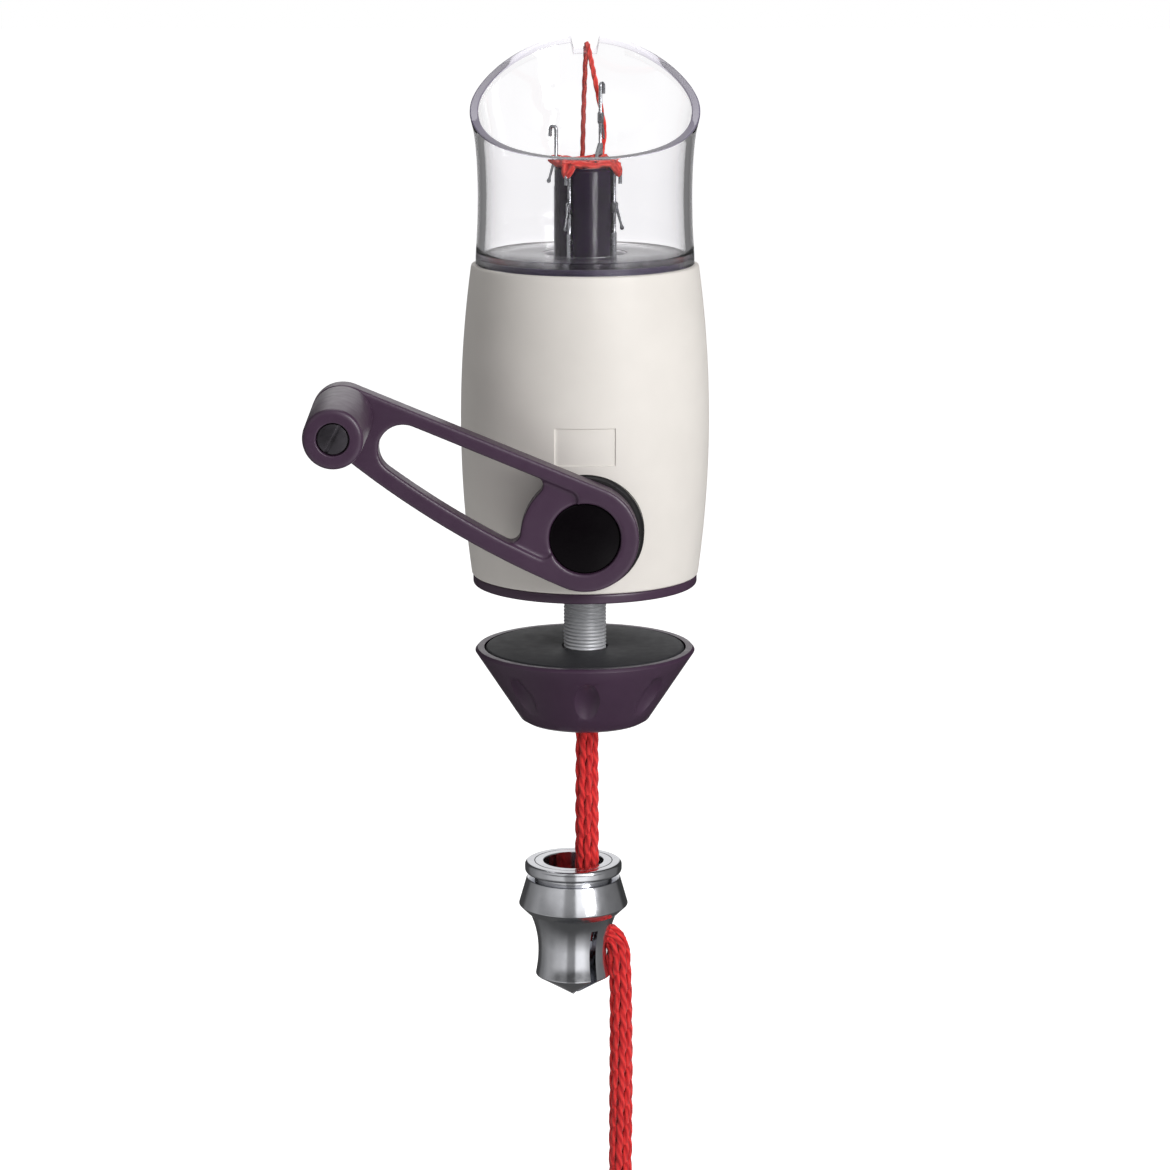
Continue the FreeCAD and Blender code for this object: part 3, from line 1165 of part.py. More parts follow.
def tube(label, route, radius):
    points = [V(*(val(place) for place in point)) for point in route]
    path, radii = arc_path(points)
    way = (points[1] - points[0]).normalize()
    profile = Part.Wire(Part.makeCircle(radius, points[0], way))
    solid = path.makePipeShell([profile], True, False)
    wanted = math.pi * radius ** 2 * path.Length
    print(f"{label}: length {path.Length:.1f}, radii {radii}, volume share {solid.Volume / wanted:.4f}")
    feature_part(label, solid)


CORD_ROUTE = [
    (0.56, 0, "clamp_foot_z"), (0.56, 0, "weight_top_z - 21"), (10.8, 0, "weight_top_z - 22.8"),
    (10.85, 0.1, "weight_top_z - 43.4"), (10.7, 0.0, "weight_top_z - 72.4"),
    (10.3, -0.3, "weight_top_z - 107.4"),
]
YARN_ROUTE = [
    (4.1, 3.4, "cyl_top_z + 2.1"), (6.2, 3.5, "cyl_top_z + 9.2"), (4.9, 4.0, "cyl_top_z + 14.2"),
    (3.2, 6.0, "rim_back_z - 11.6"), (1.15, "cup_lip_r - 7.6", "rim_back_z - 3.5"),
    (0.6, "cup_lip_r - 2.8", "rim_back_z - 1.5"), (0.3, "cup_lip_r + 2", "rim_back_z - 2.6"),
    (0.0, "cup_lip_r + 2.8", "rim_back_z - 10"),
    (-0.4, "cup_lip_r + 2.3", "cup_mid_z - 3.5"), (-0.9, "cup_lip_r + 2.6", "cup_waist_z - 1"),
    (-1.3, "shell_belly_r + 2.2", "shell_top_z - 13.6"), (-1.4, "shell_belly_r + 2.6", "shell_belly_z - 1"),
    (-1.0, "shell_belly_r + 2", "base_top_z + 5.9"),
]


def knitted_cord():
    """The cord that hangs from the clamp knob, goes through the weight and leaves by its port."""
    tube("knitted_cord", CORD_ROUTE, val("cord_r"))


def working_yarn():
    """The yarn from the stitches over the cup's notch and down behind the barrel."""
    tube("working_yarn", YARN_ROUTE, val("yarn_r"))


WEIGHT_PLACE = {"x": "weight_x"}


def weight():
    top = "weight_top_z"
    collar_top = f"{top} - collar_drop"
    collar_edge = f"{collar_top} - collar_tall"
    collar_foot = f"{collar_edge} - collar_foot_tall"
    body = turned("weight_body", [
        ("0", f"{top} - tip_drop"), ("tail_r", f"{top} - tail_drop"),
        ("waist_r", f"{top} - waist_drop",
         "waist_r + waist_bow", f"({top} - waist_drop + {collar_foot}) / 2"),
        ("flare_r", collar_foot),
        ("core_r", collar_foot),
        ("core_r", top), ("weight_mouth_r", top),
        ("weight_mouth_r", f"{top} - port_top_drop"),
        ("waist_r - weight_wall", f"{top} - waist_drop"),
        ("0", f"{top} - tail_drop"),
    ], **WEIGHT_PLACE)
    port = new_sketch(body, "YZ_Plane")
    half = "port_wide / 2"
    draw_outline(port, [
        (f"-{half}", f"{top} - port_low_drop"), (half, f"{top} - port_low_drop"),
        (half, f"{top} - port_top_drop - {half}", "0", f"{top} - port_top_drop"),
        (f"-{half}", f"{top} - port_top_drop - {half}"),
    ])
    extrude(body, port, "collar_r", cut=True, back=True)
    slit = new_sketch(body, "XY_Plane", f"{top} - slit_top_drop")
    half = "(slit_wide / 2)"
    sine, cosine, reach = "sin(slit_turn)", "cos(slit_turn)", "collar_r"
    draw_outline(slit, [
        (f"{half} * {sine}", f"-{half} * {cosine}"),
        (f"{reach} * {cosine} + {half} * {sine}", f"{reach} * {sine} - {half} * {cosine}"),
        (f"{reach} * {cosine} - {half} * {sine}", f"{reach} * {sine} + {half} * {cosine}"),
        (f"-{half} * {sine}", f"{half} * {cosine}"),
    ])
    extrude(body, slit, "tip_drop", cut=True)
    turned("weight_ring", [
        ("core_r + running_gap", f"{top} - weight_ring_tall"),
        ("weight_ring_r - ring_round", f"{top} - weight_ring_tall",
         "weight_ring_r", f"{top} - weight_ring_tall / 2"),
        ("weight_ring_r - ring_round", top), ("core_r + running_gap", top),
    ], **WEIGHT_PLACE)
    turned("weight_collar", [
        ("core_r + running_gap", collar_foot), ("collar_foot_r", collar_foot),
        ("collar_r", collar_edge), ("collar_top_r", collar_top),
        ("core_r + running_gap", collar_top),
    ], **WEIGHT_PLACE)


# ---------------------------------------------------------------- build, check and write
base_plate()
base_pad()
body_shell()
gear_frame()
bearing_plate()
thrust_washer()
standoffs()
fasteners()
lower_cam()
upper_cam()
needle_deck()
guard_cup()
gears()
needle_cylinder()
for needle in NEEDLES:
    latch_needle(*needle)
    latch(*needle)
crank_drive()
crank_arm()
crank_trim()
clamp_bolt()
guide_tube()
clamp_pad()
clamp_knob()
threaded_insert()
knitted_tube()
knitted_cord()
working_yarn()
weight()
doc.recompute()

failed = [o.Name for o in doc.Objects if any(s in ("Invalid", "Error") for s in o.State)]
if failed:
    raise RuntimeError(f"these objects failed: {failed}")
os.makedirs("parts", exist_ok=True)
for part in doc.Objects:
    if part.TypeId not in ("PartDesign::Body", "Part::Feature"):
        continue
    if part.Shape.isNull() or not part.Shape.isValid() or not part.Shape.Solids:
        raise RuntimeError(f"{part.Label} has no valid solid")
    part.Shape.exportStep(f"parts/{part.Label}.step")
    print(f"{part.Label}: {len(part.Shape.Solids)} solid(s), {part.Shape.Volume:.1f} mm3")
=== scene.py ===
"""Hand-cranked knitting mill that clamps to a table edge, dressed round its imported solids."""
import bpy
import bmesh
import math
import numpy as np
from mathutils import Matrix, Vector


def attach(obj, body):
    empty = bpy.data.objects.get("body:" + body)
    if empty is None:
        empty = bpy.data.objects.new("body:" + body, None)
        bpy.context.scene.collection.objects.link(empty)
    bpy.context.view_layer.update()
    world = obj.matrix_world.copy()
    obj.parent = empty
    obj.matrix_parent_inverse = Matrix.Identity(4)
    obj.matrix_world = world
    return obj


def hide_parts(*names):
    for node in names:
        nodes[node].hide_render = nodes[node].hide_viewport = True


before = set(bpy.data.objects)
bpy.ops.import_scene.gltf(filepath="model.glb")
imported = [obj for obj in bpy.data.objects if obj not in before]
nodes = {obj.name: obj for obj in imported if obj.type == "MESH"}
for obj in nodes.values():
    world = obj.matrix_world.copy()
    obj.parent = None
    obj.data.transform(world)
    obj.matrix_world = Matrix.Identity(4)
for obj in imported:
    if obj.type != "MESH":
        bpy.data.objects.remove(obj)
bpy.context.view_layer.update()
MM = 0.001

# ---------------------------------------------------------------- camera
# A long lens a metre away that looks down a little at the middle of the mill, so that its upright edges
# stay nearly parallel.
LENS, EYE, LOOKED_AT = 113.85, Vector((0, -1.0141, 0.2111)), Vector((0, 0, -0.00075))


def placed(name, data):
    """A new object in the scene."""
    thing = bpy.data.objects.new(name, data)
    bpy.context.scene.collection.objects.link(thing)
    return thing


camera = placed("bench_camera", bpy.data.cameras.new("bench_camera"))
camera.data.lens = LENS
camera.data.clip_start = 0.05
camera.location = EYE
camera.rotation_euler = (LOOKED_AT - EYE).to_track_quat("-Z", "Y").to_euler()
bpy.context.scene.camera = camera


# ---------------------------------------------------------------- knitted cord
# Four-stitch i-cord of soft red yarn, knitted round and round and pulled long by its weight. It hangs
# from the mill's foot, goes down into the weight and leaves by the port in its side.
class Wire:
    """A value in a node tree. Sums and products of wires add the nodes that work them out."""

    def __init__(self, tree, socket):
        self.tree, self.socket = tree, socket

    def math(self, operation, *others):
        """The result of a Math node that starts from this wire."""
        node = self.tree.nodes.new("ShaderNodeMath")
        node.operation = operation
        for socket, value in zip(node.inputs, (self, *others)):
            feed(self.tree, socket, value)
        return Wire(self.tree, node.outputs[0])

    def __add__(self, other):
        return self.math("ADD", other)

    def __sub__(self, other):
        return self.math("SUBTRACT", other)

    def __mul__(self, other):
        return self.math("MULTIPLY", other)

    def __truediv__(self, other):
        return self.math("DIVIDE", other)


def feed(tree, socket, value):
    """Sets a socket to a value, or links it to a wire."""
    if isinstance(value, Wire):
        tree.links.new(value.socket, socket)
    else:
        socket.default_value = value


def add_node(tree, kind, values=None, **settings):
    """A node with its settings and its inputs, by their name or number. An input's value is a number,
    a colour, a text or a wire."""
    node = tree.nodes.new(kind)
    for name, value in settings.items():
        setattr(node, name, value)
    for name, value in (values or {}).items():
        feed(tree, node.inputs[name], value)
    return node


def out(tree, node, name=0):
    """The wire from one of a node's outputs."""
    return Wire(tree, node.outputs[name])


def paint(red, green, blue):
    """A colour from its 0 to 255 values as seen, in linear light."""
    def linear(value):
        value /= 255
        return value / 12.92 if value <= 0.04045 else ((value + 0.055) / 1.055) ** 2.4
    return linear(red), linear(green), linear(blue), 1.0


def new_finish(name):
    """An empty finish: the material, its node tree and its shader."""
    material = bpy.data.materials.new(name)
    material.use_nodes = True
    return material, material.node_tree, material.node_tree.nodes["Principled BSDF"]


def blotches(tree, size, detail=2.0, stretch=(1, 1, 1)):
    """Cloudy noise on the piece's own coordinates; size is one blotch in millimetres."""
    place = add_node(tree, "ShaderNodeTexCoord")
    # turned, so that no flat side shows the noise's own lattice; rings stay square to the Z axis
    turn = (0.5, 0.8, 0.3) if stretch[0] == stretch[2] else (0.0, 0.0, 0.6)
    laid = add_node(tree, "ShaderNodeMapping",
                    {"Vector": out(tree, place, "Object"), "Scale": stretch, "Rotation": turn})
    noise = add_node(tree, "ShaderNodeTexNoise",
                     {"Vector": out(tree, laid), "Scale": 1 / (size * MM), "Detail": detail})
    return out(tree, noise)


def ramped(tree, value, start, end, low, high):
    """Runs from low to high as value goes from start to end, and stays level beyond them."""
    return out(tree, add_node(tree, "ShaderNodeMapRange", {
        "Value": value, "From Min": start, "From Max": end, "To Min": low, "To Max": high}))


def between(tree, noise, low=0.0, high=1.0):
    """Runs from low to high over the middle range of a noise."""
    return ramped(tree, noise, 0.3, 0.7, low, high)


def two_tones(tree, share, dark, light):
    """A colour that goes from dark to light with the share. A Mix node's colour sockets have numbers."""
    return out(tree, add_node(tree, "ShaderNodeMix", {0: share, 6: dark, 7: light}, data_type="RGBA"), 2)


def relief(tree, shader, height, deep):
    """Bump from a height of 0 to 1 that stands for so many millimetres."""
    bump = add_node(tree, "ShaderNodeBump", {"Height": height, "Distance": deep * MM})
    feed(tree, shader.inputs["Normal"], out(tree, bump))


def smooth_curve(name, route):
    """A smooth line with the route's points, in millimetres, as its control points."""
    curve = bpy.data.curves.new(name, "CURVE")
    curve.dimensions = "3D"
    curve.resolution_u = 16
    spline = curve.splines.new("NURBS")
    spline.points.add(len(route) - 1)
    for point, (x, y, z) in zip(spline.points, route):
        point.co = (x * MM, y * MM, z * MM, 1)
    spline.order_u = 3
    spline.use_endpoint_u = True
    return placed(name, curve)


def points_of(line):
    """The points of a smooth line, as its mesh gives them."""
    mesh = bpy.data.meshes.new_from_object(line)
    return [tuple(v.co) for v in mesh.vertices]


def new_tree(name, **inputs):
    """A geometry node tree with named inputs; a number's kind is its socket's type."""
    tree = bpy.data.node_groups.new(name, "GeometryNodeTree")
    tree.interface.new_socket("Geometry", in_out="INPUT", socket_type="NodeSocketGeometry")
    for label, start in inputs.items():
        kind = {float: "Float", int: "Int"}.get(type(start), start)
        socket = tree.interface.new_socket(label, in_out="INPUT", socket_type=f"NodeSocket{kind}")
        if kind in ("Float", "Int"):
            socket.default_value = start
    tree.interface.new_socket("Geometry", in_out="OUTPUT", socket_type="NodeSocketGeometry")
    start = tree.nodes.new("NodeGroupInput")
    return tree, {socket.name: Wire(tree, socket) for socket in start.outputs if socket.name}


def close_tree(tree, shapes, finish):
    """Joins the shapes, makes them real and gives them their material."""
    joined = add_node(tree, "GeometryNodeJoinGeometry")
    for shape in shapes:
        tree.links.new(shape.socket, joined.inputs[0])
    real = add_node(tree, "GeometryNodeRealizeInstances", {"Geometry": out(tree, joined)})
    coated = add_node(tree, "GeometryNodeSetMaterial", {"Geometry": out(tree, real), "Material": finish})
    end = tree.nodes.new("NodeGroupOutput")
    tree.links.new(coated.outputs[0], end.inputs[0])


def grow(name, tree, **inputs):
    """Runs a tree with these inputs and keeps what it makes as a plain mesh."""
    piece = placed(name, bpy.data.meshes.new(name))
    modifier = piece.modifiers.new("made", "NODES")
    modifier.node_group = tree
    for item in tree.interface.items_tree:
        if item.in_out == "INPUT" and item.name in inputs:
            modifier[item.identifier] = inputs[item.name]
    depsgraph = bpy.context.evaluated_depsgraph_get()
    mesh = bpy.data.meshes.new_from_object(
        piece.evaluated_get(depsgraph), preserve_all_data_layers=True, depsgraph=depsgraph)
    piece.modifiers.clear()
    piece.data = mesh
    mesh.name = name
    # the tree leaves an empty first slot on some shapes: one finish, one slot
    finish = next(material for material in mesh.materials if material)
    mesh.materials.clear()
    mesh.materials.append(finish)
    mesh.polygons.foreach_set("material_index", [0] * len(mesh.polygons))
    mesh.shade_smooth()
    return piece


def drop(*things):
    """Takes objects out of the scene."""
    for thing in things:
        bpy.data.objects.remove(thing)


PLY_PITCH, FIBRE_PITCH = 4.2 * MM, 2.4 * MM


def yarn_finish(name, deep, bright):
    """Soft red yarn: plies that wind round the strand, loose fibres and a felted sheen. Its colour is darker
    in the grooves between the plies, which is painted shade, over the fibres' own random tone.
    """
    material, tree, shader = new_finish(name)
    along = out(tree, add_node(tree, "ShaderNodeAttribute", attribute_name="yarn_along"), "Fac")
    around = out(tree, add_node(tree, "ShaderNodeAttribute", attribute_name="yarn_around"), "Fac")
    ply = ((along / PLY_PITCH + around * 3) * (2 * math.pi)).math("SINE") * 0.5 + 0.5
    fibre = add_node(tree, "ShaderNodeCombineXYZ", {"X": along / FIBRE_PITCH + around * 2, "Y": around * 16})
    fibres = out(tree, add_node(tree, "ShaderNodeTexNoise",
                                {"Vector": out(tree, fibre), "Scale": 1.0, "Detail": 4.0}))
    # painted shade: the ply wave darkens the colour in the grooves between the plies; the fibre and blotch
    # noise is the yarn's own random tone
    tone = (ply * 0.35 + fibres * 0.65) * 0.8 + blotches(tree, 6) * 0.2
    colour = two_tones(tree, between(tree, tone), paint(*deep), paint(*bright))
    feed(tree, shader.inputs["Base Color"], colour)
    feed(tree, shader.inputs["Roughness"], between(tree, fibres, 0.78, 0.95))
    shader.inputs["Sheen Weight"].default_value = 0.2
    shader.inputs["Sheen Roughness"].default_value = 0.5
    shader.inputs["Specular IOR Level"].default_value = 0.25
    relief(tree, shader, ply * 0.5 + fibres * 0.5, 0.22)
    return material


def remembered(tree, shape, name, value):
    """Keeps a value of each point under the name that the finish reads."""
    return out(tree, add_node(tree, "GeometryNodeStoreNamedAttribute",
                              {"Geometry": shape, "Name": name, "Value": value}, data_type="FLOAT"))


def spun(tree, line, radius, sides, lobes=0, lobe_deep=0.0):
    """A tube along a line that keeps how far along and around it each point is, for the yarn's plies."""
    length = out(tree, add_node(tree, "GeometryNodeSplineParameter"), "Length")
    strand = remembered(tree, line, "yarn_along", length)
    ring = out(tree, add_node(tree, "GeometryNodeCurvePrimitiveCircle",
                              {"Resolution": sides, "Radius": radius}))
    if lobes:
        index = out(tree, add_node(tree, "GeometryNodeInputIndex"))
        wave = (index * (2 * math.pi * lobes / sides)).math("COSINE") * lobe_deep + 1.0
        here = out(tree, add_node(tree, "GeometryNodeInputPosition"))
        scaled = add_node(tree, "ShaderNodeVectorMath", {0: here, "Scale": wave}, operation="SCALE")
        ring = out(tree, add_node(tree, "GeometryNodeSetPosition",
                                  {"Geometry": ring, "Position": out(tree, scaled)}))
    turn = out(tree, add_node(tree, "GeometryNodeSplineParameter"), "Factor")
    return out(tree, add_node(tree, "GeometryNodeCurveToMesh", {
        "Curve": strand, "Profile Curve": remembered(tree, ring, "yarn_around", turn), "Fill Caps": True}))


def knit_tree():
    """Knits a tube of stitches round a line: one yarn that winds down the line and makes each
    stitch's loop as it goes, over a plain core that fills the tube."""
    tree, given = new_tree(
        "knitted_tube_stitches", Line="Object", Yarn="Material", Stitches=4, Course=5.8 * MM, Loop=4.4 * MM,
        Tube=2.15 * MM, Swell=0.42 * MM, Strand=0.9 * MM, Lean=1.15, Twist=10.0, Gather=2.4 * MM,
        Core=1.7 * MM)
    per_stitch, sides, core_steps = 14, 10, 60
    info = add_node(tree, "GeometryNodeObjectInfo", {"Object": given["Line"]}, transform_space="RELATIVE")
    line = out(tree, info, "Geometry")
    long = out(tree, add_node(tree, "GeometryNodeCurveLength", {"Curve": line}))
    stitches = (long / given["Course"]) * given["Stitches"]
    count = (stitches * per_stitch).math("FLOOR")
    straight = out(tree, add_node(tree, "GeometryNodeCurvePrimitiveLine"))
    strand = out(tree, add_node(tree, "GeometryNodeResampleCurve", {"Curve": straight, "Count": count}))
    # each point's place: at is how far along the line it lies, angle how far round it and radius how far out
    phase = out(tree, add_node(tree, "GeometryNodeInputIndex")) * (2 * math.pi / per_stitch)
    swing = (phase * 2).math("SINE")
    rise = phase.math("COSINE")
    at = phase * given["Course"] / (given["Stitches"] * (2 * math.pi)) - rise * given["Loop"]
    at = at.math("MAXIMUM", 0.0).math("MINIMUM", long)
    angle = (phase + swing * given["Lean"]) / given["Stitches"] + at * given["Twist"]
    to_end = ((long - at) / given["Gather"]).math("MINIMUM", 1.0).math("POWER", 0.5)
    radius = (given["Tube"] - (phase * 2).math("COSINE") * given["Swell"]) * to_end
    spot = add_node(tree, "GeometryNodeSampleCurve", {"Curves": line, "Length": at}, mode="LENGTH")
    place, along, ahead = (out(tree, spot, name) for name in ("Position", "Tangent", "Normal"))
    aside = out(tree, add_node(tree, "ShaderNodeVectorMath", {0: along, 1: ahead}, operation="CROSS_PRODUCT"))
    for way, share in ((ahead, angle.math("COSINE")), (aside, angle.math("SINE"))):
        reach = out(tree, add_node(tree, "ShaderNodeVectorMath", {0: way, "Scale": radius * share},
                                   operation="SCALE"))
        place = out(tree, add_node(tree, "ShaderNodeVectorMath", {0: place, 1: reach}, operation="ADD"))
    wound = out(tree, add_node(tree, "GeometryNodeSetPosition", {"Geometry": strand, "Position": place}))
    core = out(tree, add_node(tree, "GeometryNodeResampleCurve", {"Curve": line, "Count": core_steps}))
    close_tree(tree, [spun(tree, wound, given["Strand"], sides), spun(tree, core, given["Core"], sides)],
               given["Yarn"])
    return tree


red_yarn = yarn_finish("soft_red_yarn", (172, 14, 26), (246, 62, 60))
knit = knit_tree()
CORD_ROUTE = [
    (0.56, 0, -39.2), (0.56, 0, -91.2), (0.56, 0, -101.6), (9.4, 0, -102.8), (10.1, 0, -113.8),
    (10.35, 0.1, -124.0), (10.4, 0.0, -153.0), (10.1, -0.3, -188.0),
]
cord_line = smooth_curve("cord_line", CORD_ROUTE)
knitted_cord = grow("knitted_cord_stitches", knit, Line=cord_line, Yarn=red_yarn)
cord_path = points_of(cord_line)
drop(cord_line)
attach(knitted_cord, "cylinder")
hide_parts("knitted_cord")


# ---------------------------------------------------------------- working yarn
# The same yarn on its way in: three plies twisted together. It comes up from behind the barrel, over
# the notch in the cup's rim and down to the needles.
def plied_tree():
    """A strand of three plies along a line, turned as it goes."""
    tree, given = new_tree("plied_yarn", Line="Object", Yarn="Material", Strand=0.68 * MM, Step=0.45 * MM)
    info = add_node(tree, "GeometryNodeObjectInfo", {"Object": given["Line"]}, transform_space="RELATIVE")
    line = out(tree, add_node(tree, "GeometryNodeResampleCurve",
                              {"Curve": out(tree, info, "Geometry"), "Length": given["Step"]}, mode="LENGTH"))
    length = out(tree, add_node(tree, "GeometryNodeSplineParameter"), "Length")
    twisted = out(tree, add_node(tree, "GeometryNodeSetCurveTilt",
                                 {"Curve": line, "Tilt": length * (2 * math.pi / (3 * PLY_PITCH))}))
    close_tree(tree, [spun(tree, twisted, given["Strand"], 18, lobes=3, lobe_deep=0.13)], given["Yarn"])
    return tree


plied = plied_tree()
YARN_ROUTE = [
    (4.3, 9.6, 117.4), (5.6, 10.6, 124.0), (4.8, 10.8, 129.0), (3.2, 12.5, 136.9), (1.15, 25.8, 145.9),
    (0.6, 30.6, 147.9), (0.3, 35.4, 146.8), (0.0, 36.2, 139.4), (-0.4, 35.7, 130.0), (-0.9, 36.0, 108.0),
    (-1.3, 36.6, 76.0), (-1.4, 37.0, 42.0), (-1.0, 36.4, 9.0),
]
yarn_line = smooth_curve("yarn_line", YARN_ROUTE)
# painted light: the working yarn, the loops and the knitting inside get a lighter copy of the cord's red yarn
lighter_painted_yarn = yarn_finish("single_red_yarn", (206, 42, 40), (255, 96, 84))
working_yarn = grow("working_yarn_plies", plied, Line=yarn_line, Yarn=lighter_painted_yarn)
yarn_path = points_of(yarn_line)
drop(yarn_line)
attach(working_yarn, "housing")
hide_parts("working_yarn")

# ---------------------------------------------------------------- stitches on the needles
# The newest stitches hang on the four needles over the cylinder's top and are drawn down its bore,
# where they close up to the cord that goes through the mill.
inner_line = smooth_curve("inner_line", [(0, 0, 106), (0, 0, 96), (0, 0, 20), (0, 0, -20), (0.56, 0, -39.2)])
inner_knit = grow("knitting_inside", knit, Line=inner_line, Yarn=lighter_painted_yarn)
drop(inner_line)
NEEDLE_TURN = -28


def at_needle(quarter, places):
    """Points given as (out from the axis, sideways, height) at one of the four needles."""
    angle = math.radians(NEEDLE_TURN + 90 * quarter)
    cosine, sine = math.cos(angle), math.sin(angle)
    return [(r * cosine - s * sine, r * sine + s * cosine, z) for r, s, z in places]


def there_and_back(half):
    """A loop's route from its first half: round the last point and back on the other side."""
    return half + [(r, -s, z) for r, s, z in reversed(half[:-1])]


OUT_OF_BORE = [(2.4, -0.8, 103), (4.4, -1.1, 112), (5.6, -1.2, 117.2)]
LOW_LOOP = there_and_back(OUT_OF_BORE + [(8.4, -1.3, 117.7), (10.2, -1.0, 116.0), (10.5, 0.0, 114.2)])
HIGH_LOOP = there_and_back(OUT_OF_BORE + [(8.2, -1.5, 118.0), (10.2, -1.1, 118.0), (10.6, 0.0, 117.9)])
loops = []
for quarter, loop in enumerate((LOW_LOOP, HIGH_LOOP, HIGH_LOOP, LOW_LOOP)):
    loops.append(at_needle(quarter, loop))
    # the strand across to the next needle lies on the cylinder's rim
    loops.append(at_needle(quarter, [(9.6, 1.0, 117.4), (7.8, 2.6, 117.9), (6.4, 4.6, 117.3)])
                 + at_needle(quarter + 1, [(6.4, -4.6, 117.3), (7.8, -2.6, 117.9), (9.6, -1.0, 117.4)]))
top_pieces = [inner_knit]
for number, loop in enumerate(loops):
    loop_line = smooth_curve("loop_line", loop)
    top_pieces.append(grow(f"loop_{number}", plied, Line=loop_line, Yarn=lighter_painted_yarn, Strand=0.86 * MM))
    drop(loop_line)


def as_one(name, pieces):
    """Several meshes as one piece."""
    joined = bmesh.new()
    for piece in pieces:
        joined.from_mesh(piece.data)
    mesh = bpy.data.meshes.new(name)
    joined.to_mesh(mesh)
    joined.free()
    for material in pieces[0].data.materials:
        mesh.materials.append(material)
    drop(*pieces)
    return placed(name, mesh)


stitches = as_one("stitches", top_pieces)
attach(stitches, "cylinder")
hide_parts("knitted_tube")


# ---------------------------------------------------------------- base plate and pad
# Aubergine plate moulded with a rounded edge, screwed up into the gear frame. A thin rubber ring sits
# in its underside and grips the table.
def shaded(colour, factors):
    """A painted colour whose red, green and blue are made darker or lighter by these factors."""
    return tuple(part * factor for part, factor in zip(paint(*colour), factors)) + (1.0,)


def moulded(name, colour, roughness, grain=0.8, grain_deep=0.004, shine=0.5):
    """Moulded plastic: its colour and gloss drift a little, with fine tool grain."""
    drift, uneven = 0.05, 0.04
    material, tree, shader = new_finish(name)
    dark, light = shaded(colour, (1 - drift,) * 3), shaded(colour, (1 + drift,) * 3)
    feed(tree, shader.inputs["Base Color"],
         two_tones(tree, between(tree, blotches(tree, 14)), dark, light))
    feed(tree, shader.inputs["Roughness"],
         between(tree, blotches(tree, 3, 3.0), roughness - uneven, roughness + uneven))
    shader.inputs["Specular IOR Level"].default_value = shine
    relief(tree, shader, blotches(tree, grain, 1.0), grain_deep)
    return material


def dress(finish, *names):
    """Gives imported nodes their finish."""
    for name in names:
        for slot in nodes[name].material_slots:
            slot.material = finish


# points closer than this are one; edges that turn by fewer or more degrees than these are flat or sharp
SAME_SPOT, FLAT, SHARP = 0.002 * MM, 0.5, 35


def keep_mesh(piece):
    """Applies a piece's modifiers."""
    depsgraph = bpy.context.evaluated_depsgraph_get()
    mesh = bpy.data.meshes.new_from_object(piece.evaluated_get(depsgraph), depsgraph=depsgraph)
    piece.modifiers.clear()
    piece.data = mesh


def round_off(piece, sharp=SHARP):
    """Shades a piece smooth, but for edges that turn by more than so many degrees."""
    piece.data.shade_smooth()
    piece.data.set_sharp_from_angle(angle=math.radians(sharp))


def eased(node, finish, width, body, segments=3, sharp=SHARP, dissolve=False):
    """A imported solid's copy with its edges eased, as a mould or a tool leaves them."""
    mesh = bpy.data.meshes.new(f"{node}_eased")
    work = bmesh.new()
    work.from_mesh(nodes[node].data)
    bmesh.ops.remove_doubles(work, verts=work.verts, dist=SAME_SPOT)
    if dissolve:
        bmesh.ops.dissolve_limit(work, angle_limit=math.radians(FLAT), verts=work.verts, edges=work.edges)
    work.to_mesh(mesh)
    work.free()
    piece = placed(mesh.name, mesh)
    bevel = piece.modifiers.new("eased", "BEVEL")
    bevel.width = width * MM
    bevel.segments = segments
    bevel.limit_method = "ANGLE"
    bevel.angle_limit = math.radians(sharp)
    keep_mesh(piece)
    round_off(piece, sharp)
    piece.data.materials.clear()
    piece.data.materials.append(finish)
    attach(piece, body)
    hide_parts(node)


aubergine = moulded("aubergine_plastic", (64, 42, 64), 0.36)
black_rubber = moulded("black_rubber", (28, 27, 28), 0.75, grain=0.5, grain_deep=0.02)
eased("base_plate", aubergine, 0.3, "housing")
dress(black_rubber, "base_pad")

# ---------------------------------------------------------------- clamp bolt
# Hollow zinc-plated bolt with a fine M12 x 1 thread, for the clamp knob to run on and the cord to pass
# through. Its hexagon head sits in the gear frame.
BOLT_FOOT, BOLT_TOP, BOLT_BORE, BOLT_TIP = -36.0, 5.1, 4.3, 5.2
THREAD_PITCH, THREAD_ROOT, THREAD_LOW, THREAD_TURNS = 1.0, 5.42, -35.4, 35.5
HEAD_FLATS, HEAD_LOW, HEAD_TOP, HEAD_BORE = 19.0, 3.15, 7.1, 4.6


def at_angle(outline, angle):
    """An outline of (radius, height) millimetres, stood up at this angle round the Z axis."""
    return [(r * math.cos(angle) * MM, r * math.sin(angle) * MM, z * MM) for r, z in outline]


def made_piece(name, work, finish=None):
    """A worked mesh as a piece whose faces point outwards."""
    bmesh.ops.recalc_face_normals(work, faces=work.faces)
    mesh = bpy.data.meshes.new(name)
    work.to_mesh(mesh)
    work.free()
    if finish:
        mesh.materials.append(finish)
    piece = placed(name, mesh)
    round_off(piece)
    return piece


def loft(name, sections, finish):
    """A closed skin: each section is the same closed outline of points at the next angle round."""
    work = bmesh.new()
    rings = [[work.verts.new(spot) for spot in section] for section in sections]
    for here, there in zip(rings, rings[1:] + rings[:1]):
        for i in range(len(here)):
            j = (i + 1) % len(here)
            work.faces.new((here[i], there[i], there[j], here[j]))
    bmesh.ops.remove_doubles(work, verts=work.verts, dist=0.0005 * MM)
    return made_piece(name, work, finish)


def lathe(name, outline, segments, finish):
    """Turns a closed outline of (radius, height) millimetres about the Z axis."""
    angles = [2 * math.pi * step / segments for step in range(segments)]
    return loft(name, [at_angle(outline, angle) for angle in angles], finish)


